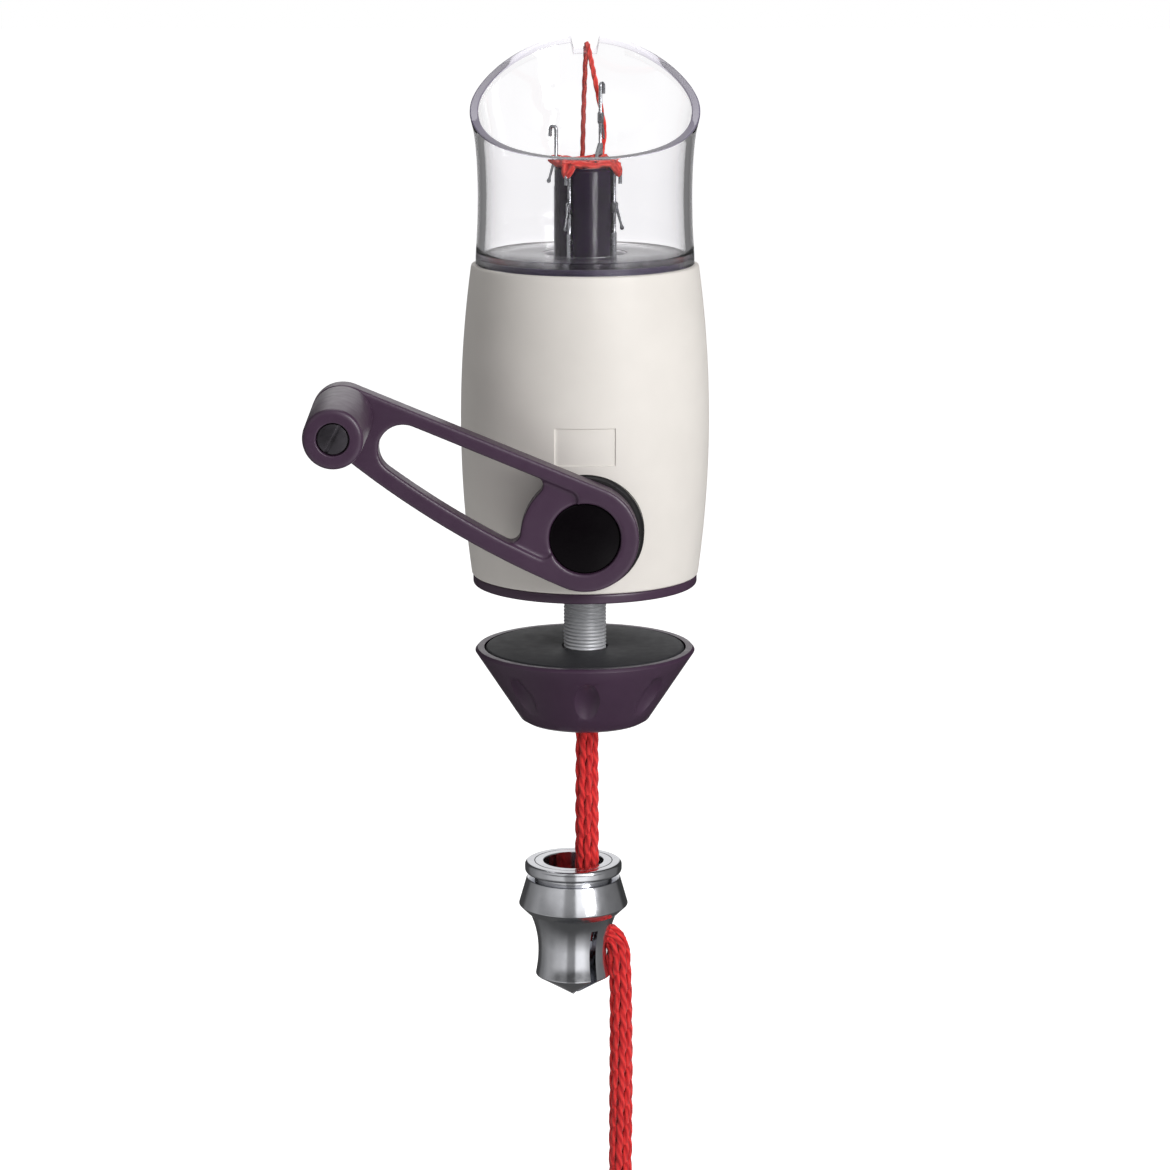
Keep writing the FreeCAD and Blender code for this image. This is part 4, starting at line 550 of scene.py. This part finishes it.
def metal(name, colour, roughness, scratch=0.004, metallic=1.0):
    """Bright metal. Turning or rolling leaves rings round its axis, so many millimetres deep."""
    worn, stretched_round = 0.05, (0.15, 0.15, 3.0)
    material, tree, shader = new_finish(name)
    shader.inputs["Metallic"].default_value = metallic
    dull = shaded(colour, (0.86, 0.86, 0.87))
    feed(tree, shader.inputs["Base Color"],
         two_tones(tree, between(tree, blotches(tree, 5, 4.0)), dull, paint(*colour)))
    feed(tree, shader.inputs["Roughness"],
         between(tree, blotches(tree, 2.2, 3.0), max(0.03, roughness - worn), roughness + worn))
    if scratch:
        relief(tree, shader, blotches(tree, 0.3, 2.0, stretched_round), scratch)
    return material


def thread_tree():
    """A thread's ridge: a rounded rib that climbs the bolt one pitch a turn."""
    tree, given = new_tree("bolt_thread", Metal="Material", Turns=THREAD_TURNS, Pitch=THREAD_PITCH * MM,
                           Radius=5.5 * MM, Rib=0.5 * MM, Foot=THREAD_LOW * MM)
    spiral = add_node(tree, "GeometryNodeCurveSpiral", {
        "Resolution": 40, "Rotations": given["Turns"], "Start Radius": given["Radius"],
        "End Radius": given["Radius"], "Height": given["Turns"] * given["Pitch"]})
    rib = add_node(tree, "GeometryNodeCurvePrimitiveCircle", {"Resolution": 6, "Radius": given["Rib"]})
    upright = add_node(tree, "GeometryNodeSetCurveNormal", {"Curve": out(tree, spiral)}, mode="Z_UP")
    ridge = add_node(tree, "GeometryNodeCurveToMesh", {
        "Curve": out(tree, upright), "Profile Curve": out(tree, rib), "Fill Caps": True})
    lift = out(tree, add_node(tree, "ShaderNodeCombineXYZ", {"Z": given["Foot"]}))
    lifted = add_node(tree, "GeometryNodeTransform", {"Geometry": out(tree, ridge), "Translation": lift})
    close_tree(tree, [out(tree, lifted)], given["Metal"])
    return tree


# a bright plating scatters half of its light
zinc = metal("zinc_steel", (236, 237, 240), 0.42, metallic=0.5)
ridge = grow("ridge", thread_tree(), Metal=zinc)
core = lathe("core", [
    (BOLT_BORE, BOLT_FOOT), (BOLT_TIP, BOLT_FOOT), (THREAD_ROOT + 0.18, BOLT_FOOT + 0.5),
    (THREAD_ROOT, BOLT_FOOT + 0.8), (THREAD_ROOT, BOLT_TOP), (BOLT_BORE, BOLT_TOP)], 64, zinc)
head_corner = HEAD_FLATS / 2 / math.cos(math.pi / 6)
head = lathe("head", [(HEAD_BORE, HEAD_LOW), (head_corner, HEAD_LOW), (head_corner, HEAD_TOP),
                      (HEAD_BORE, HEAD_TOP)], 6, zinc)
bolt = as_one("threaded_bolt", [core, ridge, head])
round_off(bolt, 50)
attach(bolt, "housing")
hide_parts("clamp_bolt")

# ---------------------------------------------------------------- barrel
# Ivory shell with a soft-touch coat, slightly barrelled, with a bare recessed field on its front and
# a round opening that the crank's bearing comes out of.
SHELL_LOW, SHELL_HIGH, SHELL_WALL, SEAT_LOW = 3.1, 89.6, 1.8, 86.5
FOOT_R, BELLY_R, TOP_R, BELLY_Z = 31.55, 34.4, 31.3, 43.0
BADGE_HALF_WIDE, BADGE_HALF_TALL, BADGE_Z, BADGE_DEEP, BADGE_EDGE = 8.3, 5.05, 44.0, 0.4, 0.22
CRANK_Z, OPENING_R, OPENING_BACK, OPENING_FRONT = 20.6, 16.1, 20.0, 40.0


def arc_radius(places):
    """Radius as a function of height, along the arc through three (radius, height) places."""
    (x1, y1), (x2, y2), (x3, y3) = places
    s1, s2, s3 = (x * x + y * y for x, y in places)
    det = 2 * (x1 * (y2 - y3) + x2 * (y3 - y1) + x3 * (y1 - y2))
    cx = (s1 * (y2 - y3) + s2 * (y3 - y1) + s3 * (y1 - y2)) / det
    cy = (s1 * (x3 - x2) + s2 * (x1 - x3) + s3 * (x2 - x1)) / det
    radius = math.hypot(x1 - cx, y1 - cy)
    return lambda z: cx + np.sqrt(radius ** 2 - (z - cy) ** 2)


def close_steps(start, end, step, edges, reach=0.5):
    """Grid lines a step apart, with closer lines about each edge that has to look crisp."""
    lines = set(np.linspace(start, end, int(round((end - start) / step)) + 1))
    for edge in edges:
        lines.update(edge + near for near in (-reach, -0.32, -0.2, -0.1, 0.0, 0.1, 0.2, reach))
    lines = sorted(lines)
    kept = [lines[0]]
    for line in lines[1:]:
        if line - kept[-1] > 0.05:
            kept.append(line)
    return np.array(kept)


def soft_step(value):
    """0 below 0, 1 above 1, and a smooth slope between."""
    value = min(1.0, max(0.0, value))
    return value * value * (3 - 2 * value)


def facing_front(x, z):
    """Lays a turned piece along the Y axis through this place, with its top to the front."""
    return Matrix.Translation((x * MM, 0, z * MM)) @ Matrix.Rotation(math.radians(90), 4, "X")


def cut_away(piece, cutter):
    """Takes the cutter's shape out of a piece."""
    cut = piece.modifiers.new("cut", "BOOLEAN")
    cut.operation, cut.solver, cut.object = "DIFFERENCE", "EXACT", cutter
    keep_mesh(piece)
    drop(cutter)
    round_off(piece, 40)


def soft_touch():
    """Matt ivory coat: a faint mottle, very fine orange peel and a dull, wide highlight."""
    material, tree, shader = new_finish("ivory_soft_touch")
    tone = between(tree, blotches(tree, 22, 3.0))
    feed(tree, shader.inputs["Base Color"], two_tones(tree, tone, paint(222, 217, 211), paint(229, 224, 218)))
    feed(tree, shader.inputs["Roughness"], between(tree, blotches(tree, 2.5, 3.0), 0.46, 0.56))
    shader.inputs["Sheen Weight"].default_value = 0.12
    shader.inputs["Sheen Roughness"].default_value = 0.4
    relief(tree, shader, blotches(tree, 0.45, 2.0), 0.010)
    return material


ivory = soft_touch()
outer = arc_radius([(FOOT_R, SHELL_LOW), (BELLY_R, BELLY_Z), (TOP_R, SHELL_HIGH)])
inner = arc_radius([(FOOT_R - SHELL_WALL, SHELL_LOW), (BELLY_R - SHELL_WALL, BELLY_Z),
                    (TOP_R - SHELL_WALL, SEAT_LOW)])
bore = TOP_R - SHELL_WALL
badge_angle = math.degrees(math.asin(BADGE_HALF_WIDE / BELLY_R))
around = close_steps(-180, 180, 1.5, [-90 - badge_angle, -90 + badge_angle])[:-1]
up = close_steps(SHELL_LOW + 0.7, SHELL_HIGH - 0.5, 1.5,
                 [BADGE_Z - BADGE_HALF_TALL, BADGE_Z + BADGE_HALF_TALL])
shell_sections = []
for degrees in around:
    side = abs(math.radians(degrees + 90) * BELLY_R)
    section = [(outer(SHELL_LOW) - 0.55, SHELL_LOW), (outer(SHELL_LOW) - 0.2, SHELL_LOW + 0.12),
               (outer(SHELL_LOW + 0.4) - 0.02, SHELL_LOW + 0.4)]
    for z in up:
        inside = min(BADGE_HALF_WIDE - side, BADGE_HALF_TALL - abs(z - BADGE_Z))
        section.append((outer(z) - BADGE_DEEP * soft_step(inside / BADGE_EDGE + 0.5), z))
    section += [(outer(SHELL_HIGH) - 0.1, SHELL_HIGH - 0.16), (outer(SHELL_HIGH) - 0.45, SHELL_HIGH),
                (bore + 0.05, SHELL_HIGH), (bore, SHELL_HIGH - 0.2), (bore, SEAT_LOW)]
    section += [(inner(z), z) for z in np.linspace(SEAT_LOW - 2.5, SHELL_LOW, 24)]
    shell_sections.append(at_angle(section, math.radians(degrees)))
shell = loft("barrel_shell", shell_sections, ivory)
opening = lathe("opening", [(0.01, OPENING_BACK), (OPENING_R, OPENING_BACK), (OPENING_R, OPENING_FRONT),
                            (0.01, OPENING_FRONT)], 160, ivory)
opening.data.transform(facing_front(0, CRANK_Z))
cut_away(shell, opening)
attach(shell, "housing")
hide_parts("body_shell")

# ---------------------------------------------------------------- frame, gears and cams inside the barrel
# Nylon frame on the base plate, a bearing plate on its posts, two mitre gears, cam sleeves that lift
# the needles, and the screws that hold them. They and the deck on top only get their finish here.
nylon = moulded("white_nylon", (222, 220, 212), 0.45, grain=0.6)
black_screw = metal("blackened_steel", (62, 60, 62), 0.35)
bronze = metal("bronze_bush", (196, 156, 92), 0.28)
brass = metal("brass_insert", (214, 178, 96), 0.24)
steel = metal("plain_steel", (200, 202, 206), 0.25)
dress(nylon, "gear_frame", "bearing_plate", "thrust_washer", "standoffs", "lower_cam", "upper_cam",
      "driven_gear", "drive_pinion", "guide_tube")
dress(steel, "base_screws", "plate_screws", "standoff_screws", "deck_screws", "bearing_screws", "crank_shaft")
dress(black_screw, "hub_screw")
dress(bronze, "shaft_bush")
dress(brass, "threaded_insert")
deck_mauve = moulded("deck_aubergine", (88, 76, 106), 0.4)
dress(deck_mauve, "needle_deck")

# ---------------------------------------------------------------- guard cup
# Clear cup in one piece with a floor, which plugs into the barrel. Its wall flares and its thick,
# polished rim is scooped low at the front, with a notch for the yarn at the back.
CUP_WALL, CUP_FLOOR, CUP_UNDER, CUP_HOLE, CUP_FOOT, CUP_LIP = 2.3, 92.7, 91.15, 11.5, 30.1, 33.3
PLUG_IN, PLUG_OUT, PLUG_LOW = 27.1, 29.4, 86.6
RIM_FRONT, RIM_MIDDLE, RIM_BACK = (-30.2, 120.8), (0.0, 130.3), (32.25, 149.4)
RIM_BULGE = 0.45
NOTCH_HALF, NOTCH_DEEP, NOTCH_EDGE = 3.65, 3.2, 0.9
WALL_ROWS, RIM_STEPS, SMOOTHED = 28, 12, 15


def clear_finish():
    """Clear polycarbonate, polished, with a trace of lilac in its depth. Its cut rim gets painted shade: a
    dark lilac grey that takes half its clearness, over that lilac tint.
    """
    material, tree, shader = new_finish("clear_plastic")
    # painted shade: where this attribute rises, the cut rim turns a dark lilac grey and loses half its
    # clearness
    rim = out(tree, add_node(tree, "ShaderNodeAttribute", attribute_name="rim_share"), "Fac")
    feed(tree, shader.inputs["Base Color"],
         two_tones(tree, rim, (0.985, 0.982, 0.99, 1.0), (0.36, 0.31, 0.46, 1.0)))
    feed(tree, shader.inputs["Transmission Weight"], rim * -0.5 + 1.0)
    shader.inputs["IOR"].default_value = 1.49
    # the floor's top is less polished than the wall
    place = out(tree, add_node(tree, "ShaderNodeTexCoord"), "Object")
    height = out(tree, add_node(tree, "ShaderNodeSeparateXYZ", {"Vector": place}), "Z")
    hazy = ramped(tree, height, (CUP_FLOOR + 0.05) * MM, (CUP_FLOOR + 0.5) * MM, 0.2, 0.0)
    feed(tree, shader.inputs["Roughness"], between(tree, blotches(tree, 9, 2.0), 0.0, 0.015) + hazy)
    depth = add_node(tree, "ShaderNodeVolumeAbsorption", {"Color": (0.6, 0.52, 0.7, 1.0), "Density": 9.0})
    tree.links.new(depth.outputs[0], tree.nodes["Material Output"].inputs["Volume"])
    return material


rim_arc = arc_radius([(-z, y) for y, z in (RIM_FRONT, RIM_MIDDLE, RIM_BACK)])
# the wall's radius at heights from its foot to past the rim, with its bends smoothed
wall_z = np.linspace(CUP_FLOOR, 156.0, 120)
wall_r = np.interp(wall_z, [CUP_FLOOR, 100.0, 109.0, 117.0, 124.5, 133.5, 150.4, 160.0],
                   [CUP_FOOT, 29.6, 29.4, 29.6, 30.2, 32.2, 33.4, 33.9])
smoothing = np.hanning(SMOOTHED) / np.hanning(SMOOTHED).sum()
wall_r = np.convolve(np.pad(wall_r, SMOOTHED // 2, mode="edge"), smoothing, "valid")


def wall_radius(z):
    """The cup's outer radius at a height."""
    return float(np.interp(z, wall_z, wall_r))


def rim_height(angle, inset):
    """Height of the rim where the wall, at this inset from its outside, meets the scoop: an arc that
    sags below a straight cut."""
    z = 130.0
    # the wall's radius changes with height, so the height settles in a few rounds
    for _ in range(8):
        z = -float(rim_arc((wall_radius(z) - inset) * math.sin(angle)))
    across = abs((wall_radius(z) - inset) * math.cos(angle)) if math.sin(angle) > 0 else CUP_LIP
    return z - NOTCH_DEEP * soft_step((NOTCH_HALF - across) / NOTCH_EDGE + 0.5)


notch_angle = math.degrees(math.asin(NOTCH_HALF / CUP_LIP))
plug = [(CUP_HOLE, CUP_UNDER), (PLUG_IN, CUP_UNDER), (PLUG_IN, PLUG_LOW), (PLUG_OUT, PLUG_LOW),
        (PLUG_OUT, SHELL_HIGH), (CUP_FOOT - 0.15, SHELL_HIGH), (CUP_FOOT, SHELL_HIGH + 0.15),
        (CUP_FOOT, SHELL_HIGH + 1.4)]
foot = wall_radius(CUP_FLOOR) - CUP_WALL
floor_edge = [(foot - 0.18, CUP_FLOOR + 0.18), (foot - 0.6, CUP_FLOOR), (CUP_HOLE + 0.2, CUP_FLOOR),
              (CUP_HOLE, CUP_FLOOR - 0.2)]
cup_sections = []
for degrees in close_steps(-180, 180, 1.5, [90 - notch_angle, 90 + notch_angle], reach=0.8)[:-1]:
    angle = math.radians(degrees)
    z1, z2 = rim_height(angle, 0.0) - RIM_BULGE, rim_height(angle, CUP_WALL) - RIM_BULGE
    r1, r2 = wall_radius(z1), wall_radius(z2) - CUP_WALL
    outside = [CUP_FLOOR + share * (z1 - CUP_FLOOR) for share in np.linspace(0, 1, WALL_ROWS)]
    inside = [CUP_FLOOR + 0.6 + share * (z2 - CUP_FLOOR - 0.6) for share in np.linspace(1, 0, WALL_ROWS)]
    long = math.hypot(r1 - r2, z1 - z2)
    nr, nz = -(z1 - z2) / long, (r1 - r2) / long
    rim = []
    for step in range(1, RIM_STEPS):
        # a flat cut with small round edges
        a = math.pi * step / RIM_STEPS
        half = math.copysign(abs(math.cos(a)) ** 0.4, math.cos(a)) / 2
        crown = RIM_BULGE * math.sin(a) ** 0.4
        rim.append(((r1 + r2) / 2 + (r1 - r2) * half + nr * crown,
                    (z1 + z2) / 2 + (z1 - z2) * half + nz * crown))
    section = (plug + [(wall_radius(z), z) for z in outside] + rim
               + [(wall_radius(z) - CUP_WALL, z) for z in inside] + floor_edge)
    cup_sections.append(at_angle(section, angle))
cup = loft("clear_cup", cup_sections, clear_finish())
cut_points = range(len(plug) + WALL_ROWS, len(plug) + WALL_ROWS + RIM_STEPS - 1)
rim_share = cup.data.attributes.new("rim_share", "FLOAT", "POINT")
# painted shade on the cut, over the plastic's own lilac tint: darkest at both sides, where the thick rim is
# seen edge on, and nearly clear at the front and the back
rim_share.data.foreach_set("value", [
    0.3 + 0.7 * abs(section[0][0] / (CUP_HOLE * MM)) ** 1.6 if point in cut_points else 0.0
    for section in cup_sections for point in range(len(section))])
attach(cup, "housing")
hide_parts("guard_cup")

# ---------------------------------------------------------------- needle cylinder, needles and latches
# Glossy aubergine cylinder with four slots. A steel latch needle rides in each: hook, riveted latch,
# flat shank and butt, stamped and polished.
gloss = moulded("aubergine_gloss", (36, 16, 46), 0.12, grain=1.6, grain_deep=0.001, shine=0.25)
needle_steel = metal("needle_steel", (176, 177, 181), 0.27, scratch=0)
eased("needle_cylinder", gloss, 0.25, "cylinder")
for place in ("front_right", "back_right", "back_left", "front_left"):
    eased(f"needle_{place}", needle_steel, 0.08, f"needle_{place}", segments=2, dissolve=True)
    eased(f"latch_{place}", needle_steel, 0.05, f"latch_{place}", segments=2, dissolve=True)

# ---------------------------------------------------------------- crank
# Black bearing in the barrel's opening, and an aubergine arm with a wide window, moulded in one with
# its hub. A black cap hides the hub's screw; the knob turns on a black shoulder screw.
black = moulded("black_plastic", (16, 13, 16), 0.3)
cap_black = moulded("black_cap", (9, 6, 9), 0.2, shine=0.12)
screw_black = metal("black_screw_head", (96, 92, 98), 0.3)
eased("crank_bearing", black, 0.4, "housing")


def softened(node, finish, body):
    """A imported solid's copy with full, soft edges and hollows, as a deep mould leaves them."""
    grid, passes, strength = 0.4, 14, 0.5
    mesh = nodes[node].data.copy()
    piece = placed(f"{node}_moulded", mesh)
    mesh.name = piece.name
    weld = piece.modifiers.new("weld", "WELD")
    weld.merge_threshold = SAME_SPOT
    skin = piece.modifiers.new("skin", "REMESH")
    skin.mode, skin.voxel_size, skin.adaptivity = "VOXEL", grid * MM, 0.0
    soften = piece.modifiers.new("soften", "SMOOTH")
    soften.factor, soften.iterations = strength, passes
    keep_mesh(piece)
    piece.data.materials.clear()
    piece.data.materials.append(finish)
    piece.data.shade_smooth()
    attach(piece, body)
    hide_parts(node)


def rounded(corners, steps=5):
    """An outline of (radius, height, rounding) corners, each rounded by that many millimetres."""
    outline = []
    for i, (r, z, size) in enumerate(corners):
        corner = Vector((r, z))
        back = Vector(corners[i - 1][:2]) - corner
        ahead = Vector(corners[(i + 1) % len(corners)][:2]) - corner
        reach = min(size, back.length * 0.45, ahead.length * 0.45)
        if size == 0:
            outline.append((r, z))
            continue
        start, end = corner + back.normalized() * reach, corner + ahead.normalized() * reach
        for step in range(steps + 1):
            t = step / steps
            spot = start * (1 - t) ** 2 + corner * (2 * t * (1 - t)) + end * t ** 2
            outline.append((spot.x, spot.y))
    return outline


softened("crank_arm", aubergine, "crank")
eased("hub_cap", cap_black, 0.25, "crank")
KNOB_X, KNOB_Z, KNOB_BACK, KNOB_FRONT = -64.6, 53.94, 43.4, 80.4
KNOB_BACK_R, KNOB_FRONT_R, KNOB_BORE, WELL_R, WELL_DEEP = 8.35, 7.9, 3.05, 4.3, 2.4
knob = lathe("crank_knob_turned", rounded(
    [(KNOB_BORE, KNOB_BACK, 0), (KNOB_BACK_R, KNOB_BACK, 0.9), (KNOB_FRONT_R, KNOB_FRONT, 1.5),
     (WELL_R, KNOB_FRONT, 0.4), (WELL_R, KNOB_FRONT - WELL_DEEP, 0), (KNOB_BORE, KNOB_FRONT - WELL_DEEP, 0)]),
    128, aubergine)
knob.data.transform(facing_front(KNOB_X, KNOB_Z))
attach(knob, "crank_knob")
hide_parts("crank_knob")
eased("knob_screw", screw_black, 0.15, "crank", dissolve=True)

# ---------------------------------------------------------------- clamp knob and pad
# Aubergine cone with eight finger hollows, threaded on the bolt by its brass insert, and a soft dark
# pad on top that meets the table's underside.
pad_grey = moulded("pad_anthracite", (46, 46, 50), 0.62, grain=0.5, grain_deep=0.015)
eased("clamp_knob", aubergine, 0.3, "clamp_knob", sharp=38)
eased("clamp_pad", pad_grey, 0.3, "clamp_pad")

# ---------------------------------------------------------------- weight
# Turned and polished steel: a slit body with a cone tip, a collar and a top ring pressed on. The cord
# passes down through it, so it keeps the knitting taut.
WEIGHT_X, WEIGHT_TOP, WEIGHT_TIP, WEIGHT_BORE, NECK_R, SEAT_R = -3.3, -80.6, -120.5, 8.5, 11.0, 11.05
FLARE_LOW, WAIST_Z, FLARE_TOP, COLLAR_TOP, RING_LOW, RING_R = -114.0, -106.7, -95.5, -85.3, -83.9, 13.8
SLIT_WIDE, SLIT_TOP, SLIT_TURN = 2.1, -99.0, -57.0
PORT_WIDE, PORT_TOP, PORT_LOW = 7.4, -98.5, -107.8
CUT_LOW, CUT_OUT, WEIGHT_SIDES = -122, 16, 160
weight_axis = Matrix.Translation((WEIGHT_X * MM, 0, 0))


def slab(name, low, high, turn=0.0, top_round=0.0):
    """A straight cutter between two corners; its top may be a half round. It turns about the Z axis."""
    (x0, y0, z0), (x1, y1, z1) = low, high
    outline = [(y0, z0), (y1, z0)]
    if top_round:
        for step in range(17):
            angle = math.pi * step / 16
            outline.append((top_round * math.cos(angle), z1 - top_round + top_round * math.sin(angle)))
    else:
        outline += [(y1, z1), (y0, z1)]
    work = bmesh.new()
    near = [work.verts.new((x0 * MM, y * MM, z * MM)) for y, z in outline]
    far = [work.verts.new((x1 * MM, y * MM, z * MM)) for y, z in outline]
    work.faces.new(near)
    work.faces.new(far)
    for i in range(len(outline)):
        j = (i + 1) % len(outline)
        work.faces.new((near[i], near[j], far[j], far[i]))
    cutter = made_piece(name, work)
    cutter.data.transform(weight_axis @ Matrix.Rotation(math.radians(turn), 4, "Z"))
    return cutter


polished = metal("polished_weight", (208, 209, 213), 0.15, scratch=0.0015)
waist = np.polyfit([FLARE_LOW, WAIST_Z, -101.1, FLARE_TOP], [10.8, 10.05, 10.65, 12.6], 3)
body_outline = rounded(
    [(0.02, WEIGHT_TIP, 0), (10.8, FLARE_LOW, 0.35)]
    + [(float(np.polyval(waist, z)), float(z), 0) for z in np.linspace(FLARE_LOW + 1, FLARE_TOP - 0.7, 22)]
    + [(12.6, FLARE_TOP, 0), (NECK_R, FLARE_TOP, 0), (NECK_R, WEIGHT_TOP, 0.3),
       (WEIGHT_BORE, WEIGHT_TOP, 0.3), (WEIGHT_BORE, PORT_TOP, 0), (8.0, WAIST_Z, 0), (0.02, FLARE_LOW, 0)])
ring_outline = rounded([(SEAT_R, RING_LOW, 0.2), (RING_R, RING_LOW, 1.35), (RING_R, WEIGHT_TOP, 1.35),
                        (SEAT_R, WEIGHT_TOP, 0.2)], 8)
collar_outline = rounded([(SEAT_R, FLARE_TOP, 0), (13.2, FLARE_TOP, 0.2), (15.55, FLARE_TOP + 2.4, 0.3),
                          (13.3, COLLAR_TOP, 0.35), (SEAT_R, COLLAR_TOP, 0)])
weight_body, weight_ring, weight_collar = weight_pieces = [
    lathe(f"{name}_turned", outline, WEIGHT_SIDES, polished)
    for name, outline in (("weight_body", body_outline), ("weight_ring", ring_outline),
                          ("weight_collar", collar_outline))]
for turned in weight_pieces:
    turned.data.transform(weight_axis)
cut_away(weight_body, slab("port", (0, -PORT_WIDE / 2, PORT_LOW), (CUT_OUT, PORT_WIDE / 2, PORT_TOP),
                           top_round=PORT_WIDE / 2))
cut_away(weight_body, slab("slit", (0, -SLIT_WIDE / 2, CUT_LOW), (CUT_OUT, SLIT_WIDE / 2, SLIT_TOP),
                           turn=SLIT_TURN))
for turned, node in zip(weight_pieces, ("weight_body", "weight_ring", "weight_collar")):
    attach(turned, "cylinder")
    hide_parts(node)


# ---------------------------------------------------------------- studio
# White floor below the cord's end, a large soft key light from the front right and a dim one from
# above and behind. Gloss and the clear cup see a room of their own, and bare white behind the mill.
AMBIENT, FLOOR_Z = 0.31, -0.1885


def softbox(name, place, target, wide, tall, power):
    """A lamp with a rectangular white screen that faces its target."""
    lamp = bpy.data.lights.new(name, "AREA")
    lamp.shape = "RECTANGLE"
    lamp.size, lamp.size_y, lamp.energy = wide, tall, power
    lamp_object = placed(name, lamp)
    lamp_object.location = place
    lamp_object.rotation_euler = (Vector(target) - Vector(place)).to_track_quat("-Z", "Y").to_euler()


softbox("key", place=(0.72, -0.92, 0.5), target=(0, 0, 0), wide=0.45, tall=0.74, power=11.5)
softbox("top", place=(-0.1, 0.5, 1.1), target=(0, 0, 0.05), wide=0.8, tall=0.5, power=2.4)


def ways_of_light(tree):
    """Shares of three kinds of ray: to the camera, mirrored in gloss, and seen through the clear cup."""
    path = add_node(tree, "ShaderNodeLightPath")
    camera_ray = out(tree, path, "Is Camera Ray")
    bounced = out(tree, path, "Diffuse Depth").math("GREATER_THAN", 0.5)
    seen = out(tree, path, "Is Glossy Ray").math("MAXIMUM", out(tree, path, "Is Transmission Ray"))
    seen = seen * (bounced * -1 + 1.0) * (camera_ray * -1 + 1.0)
    gloss = out(tree, path, "Glossy Depth").math("GREATER_THAN", 0.5)
    cleared = out(tree, path, "Transmission Depth").math("GREATER_THAN", 0.5)
    mirrored = seen * gloss * (cleared * -0.35 + 1.0)
    return camera_ray, mirrored, mirrored * -1 + seen


# The room round the mill as gloss sees it, by degrees: 0 is behind it, 90 left, 180 in front, 270 right.
# A white backdrop behind, dark past its edges, a soft panel in front at each side and a dim gap between.
ROOM = [(0, 1.0), (9, 1.0), (15, 0.06), (46, 0.08), (62, 0.24), (100, 0.45), (132, 0.7), (156, 0.85),
        (162, 0.42), (183, 0.38), (188, 1.5), (208, 1.5), (234, 0.8), (244, 0.45), (266, 0.25), (300, 0.2),
        (312, 0.06), (345, 0.06), (351, 1.0), (360, 1.0)]


def round_the_room(tree, coordinates):
    """Brightness in the direction of these coordinates from the mill."""
    place = out(tree, add_node(tree, "ShaderNodeTexCoord"), coordinates)
    way = add_node(tree, "ShaderNodeSeparateXYZ", {"Vector": place})
    east, north = out(tree, way, "X"), out(tree, way, "Y")
    turn = east.math("ARCTAN2", north * -1) / (2 * math.pi) + 0.5
    ramp = add_node(tree, "ShaderNodeValToRGB", {"Fac": turn})
    stops = ramp.color_ramp.elements
    ramp.color_ramp.interpolation = "EASE"
    stops.remove(stops[1])
    for number, (degrees, level) in enumerate(ROOM):
        stop = stops[0] if number == 0 else stops.new(degrees / 360)
        stop.position = degrees / 360
        stop.color = (level, level, level, 1)
    distance = (east * east + north * north).math("SQRT")
    # how far this direction is in front, where upright gloss sees a calm, dim room
    front = ramped(tree, north * -1 / distance, 0.15, 0.6, 0.0, 1.0)
    return out(tree, ramp), front, distance, out(tree, way, "Z")


world = bpy.data.worlds.new("studio")
bpy.context.scene.world = world
world.use_nodes = True
room = world.node_tree
room.nodes.clear()
camera_ray, mirrored, through = ways_of_light(room)
others = (camera_ray + mirrored + through) * -1 + 1.0
pattern, front, _, upward = round_the_room(room, "Generated")
calm = ramped(room, upward, 0.06, 0.24, 0.75, 0.0)
level = camera_ray + through + mirrored * pattern * (calm * front * -1 + 1.0) + others * AMBIENT
light = add_node(room, "ShaderNodeBackground", {"Color": (1, 1, 1, 1), "Strength": level})
add_node(room, "ShaderNodeOutputWorld", {0: out(room, light)})

floor_mesh = bpy.data.meshes.new("floor")
floor_mesh.from_pydata([(x, y, FLOOR_Z) for x, y in ((-4, -4), (4, -4), (4, 6), (-4, 6))], [], [(0, 1, 2, 3)])
floor = placed("floor", floor_mesh)
floor_white = bpy.data.materials.new("floor_white")
floor_white.use_nodes = True
tree = floor_white.node_tree
tree.nodes.clear()
matt = add_node(tree, "ShaderNodeBsdfDiffuse", {"Color": (0.82, 0.82, 0.82, 1)})
camera_ray, mirrored, through = ways_of_light(tree)
pattern, front, distance, _ = round_the_room(tree, "Object")
# right under the mill the floor is in its own shade
away = ramped(tree, distance, 0.08, 0.2, 0.0, 1.0)
calm = ramped(tree, distance, 0.65, 1.05, 0.0, 0.75)
glow = add_node(tree, "ShaderNodeEmission", {
    "Color": (1, 1, 1, 1),
    "Strength": pattern * away * (calm * front * -1 + 1.0) + (away * -1 + 1.0) * 0.1})
lift = add_node(tree, "ShaderNodeEmission", {"Color": (1, 1, 1, 1), "Strength": (camera_ray + through) * 0.8})
both = add_node(tree, "ShaderNodeAddShader", {0: out(tree, matt), 1: out(tree, lift)})
floor_seen = add_node(tree, "ShaderNodeMixShader", {0: mirrored, 1: out(tree, both), 2: out(tree, glow)})
add_node(tree, "ShaderNodeOutputMaterial", {0: out(tree, floor_seen)})
floor_mesh.materials.append(floor_white)

bpy.context.scene.view_settings.view_transform = "Standard"
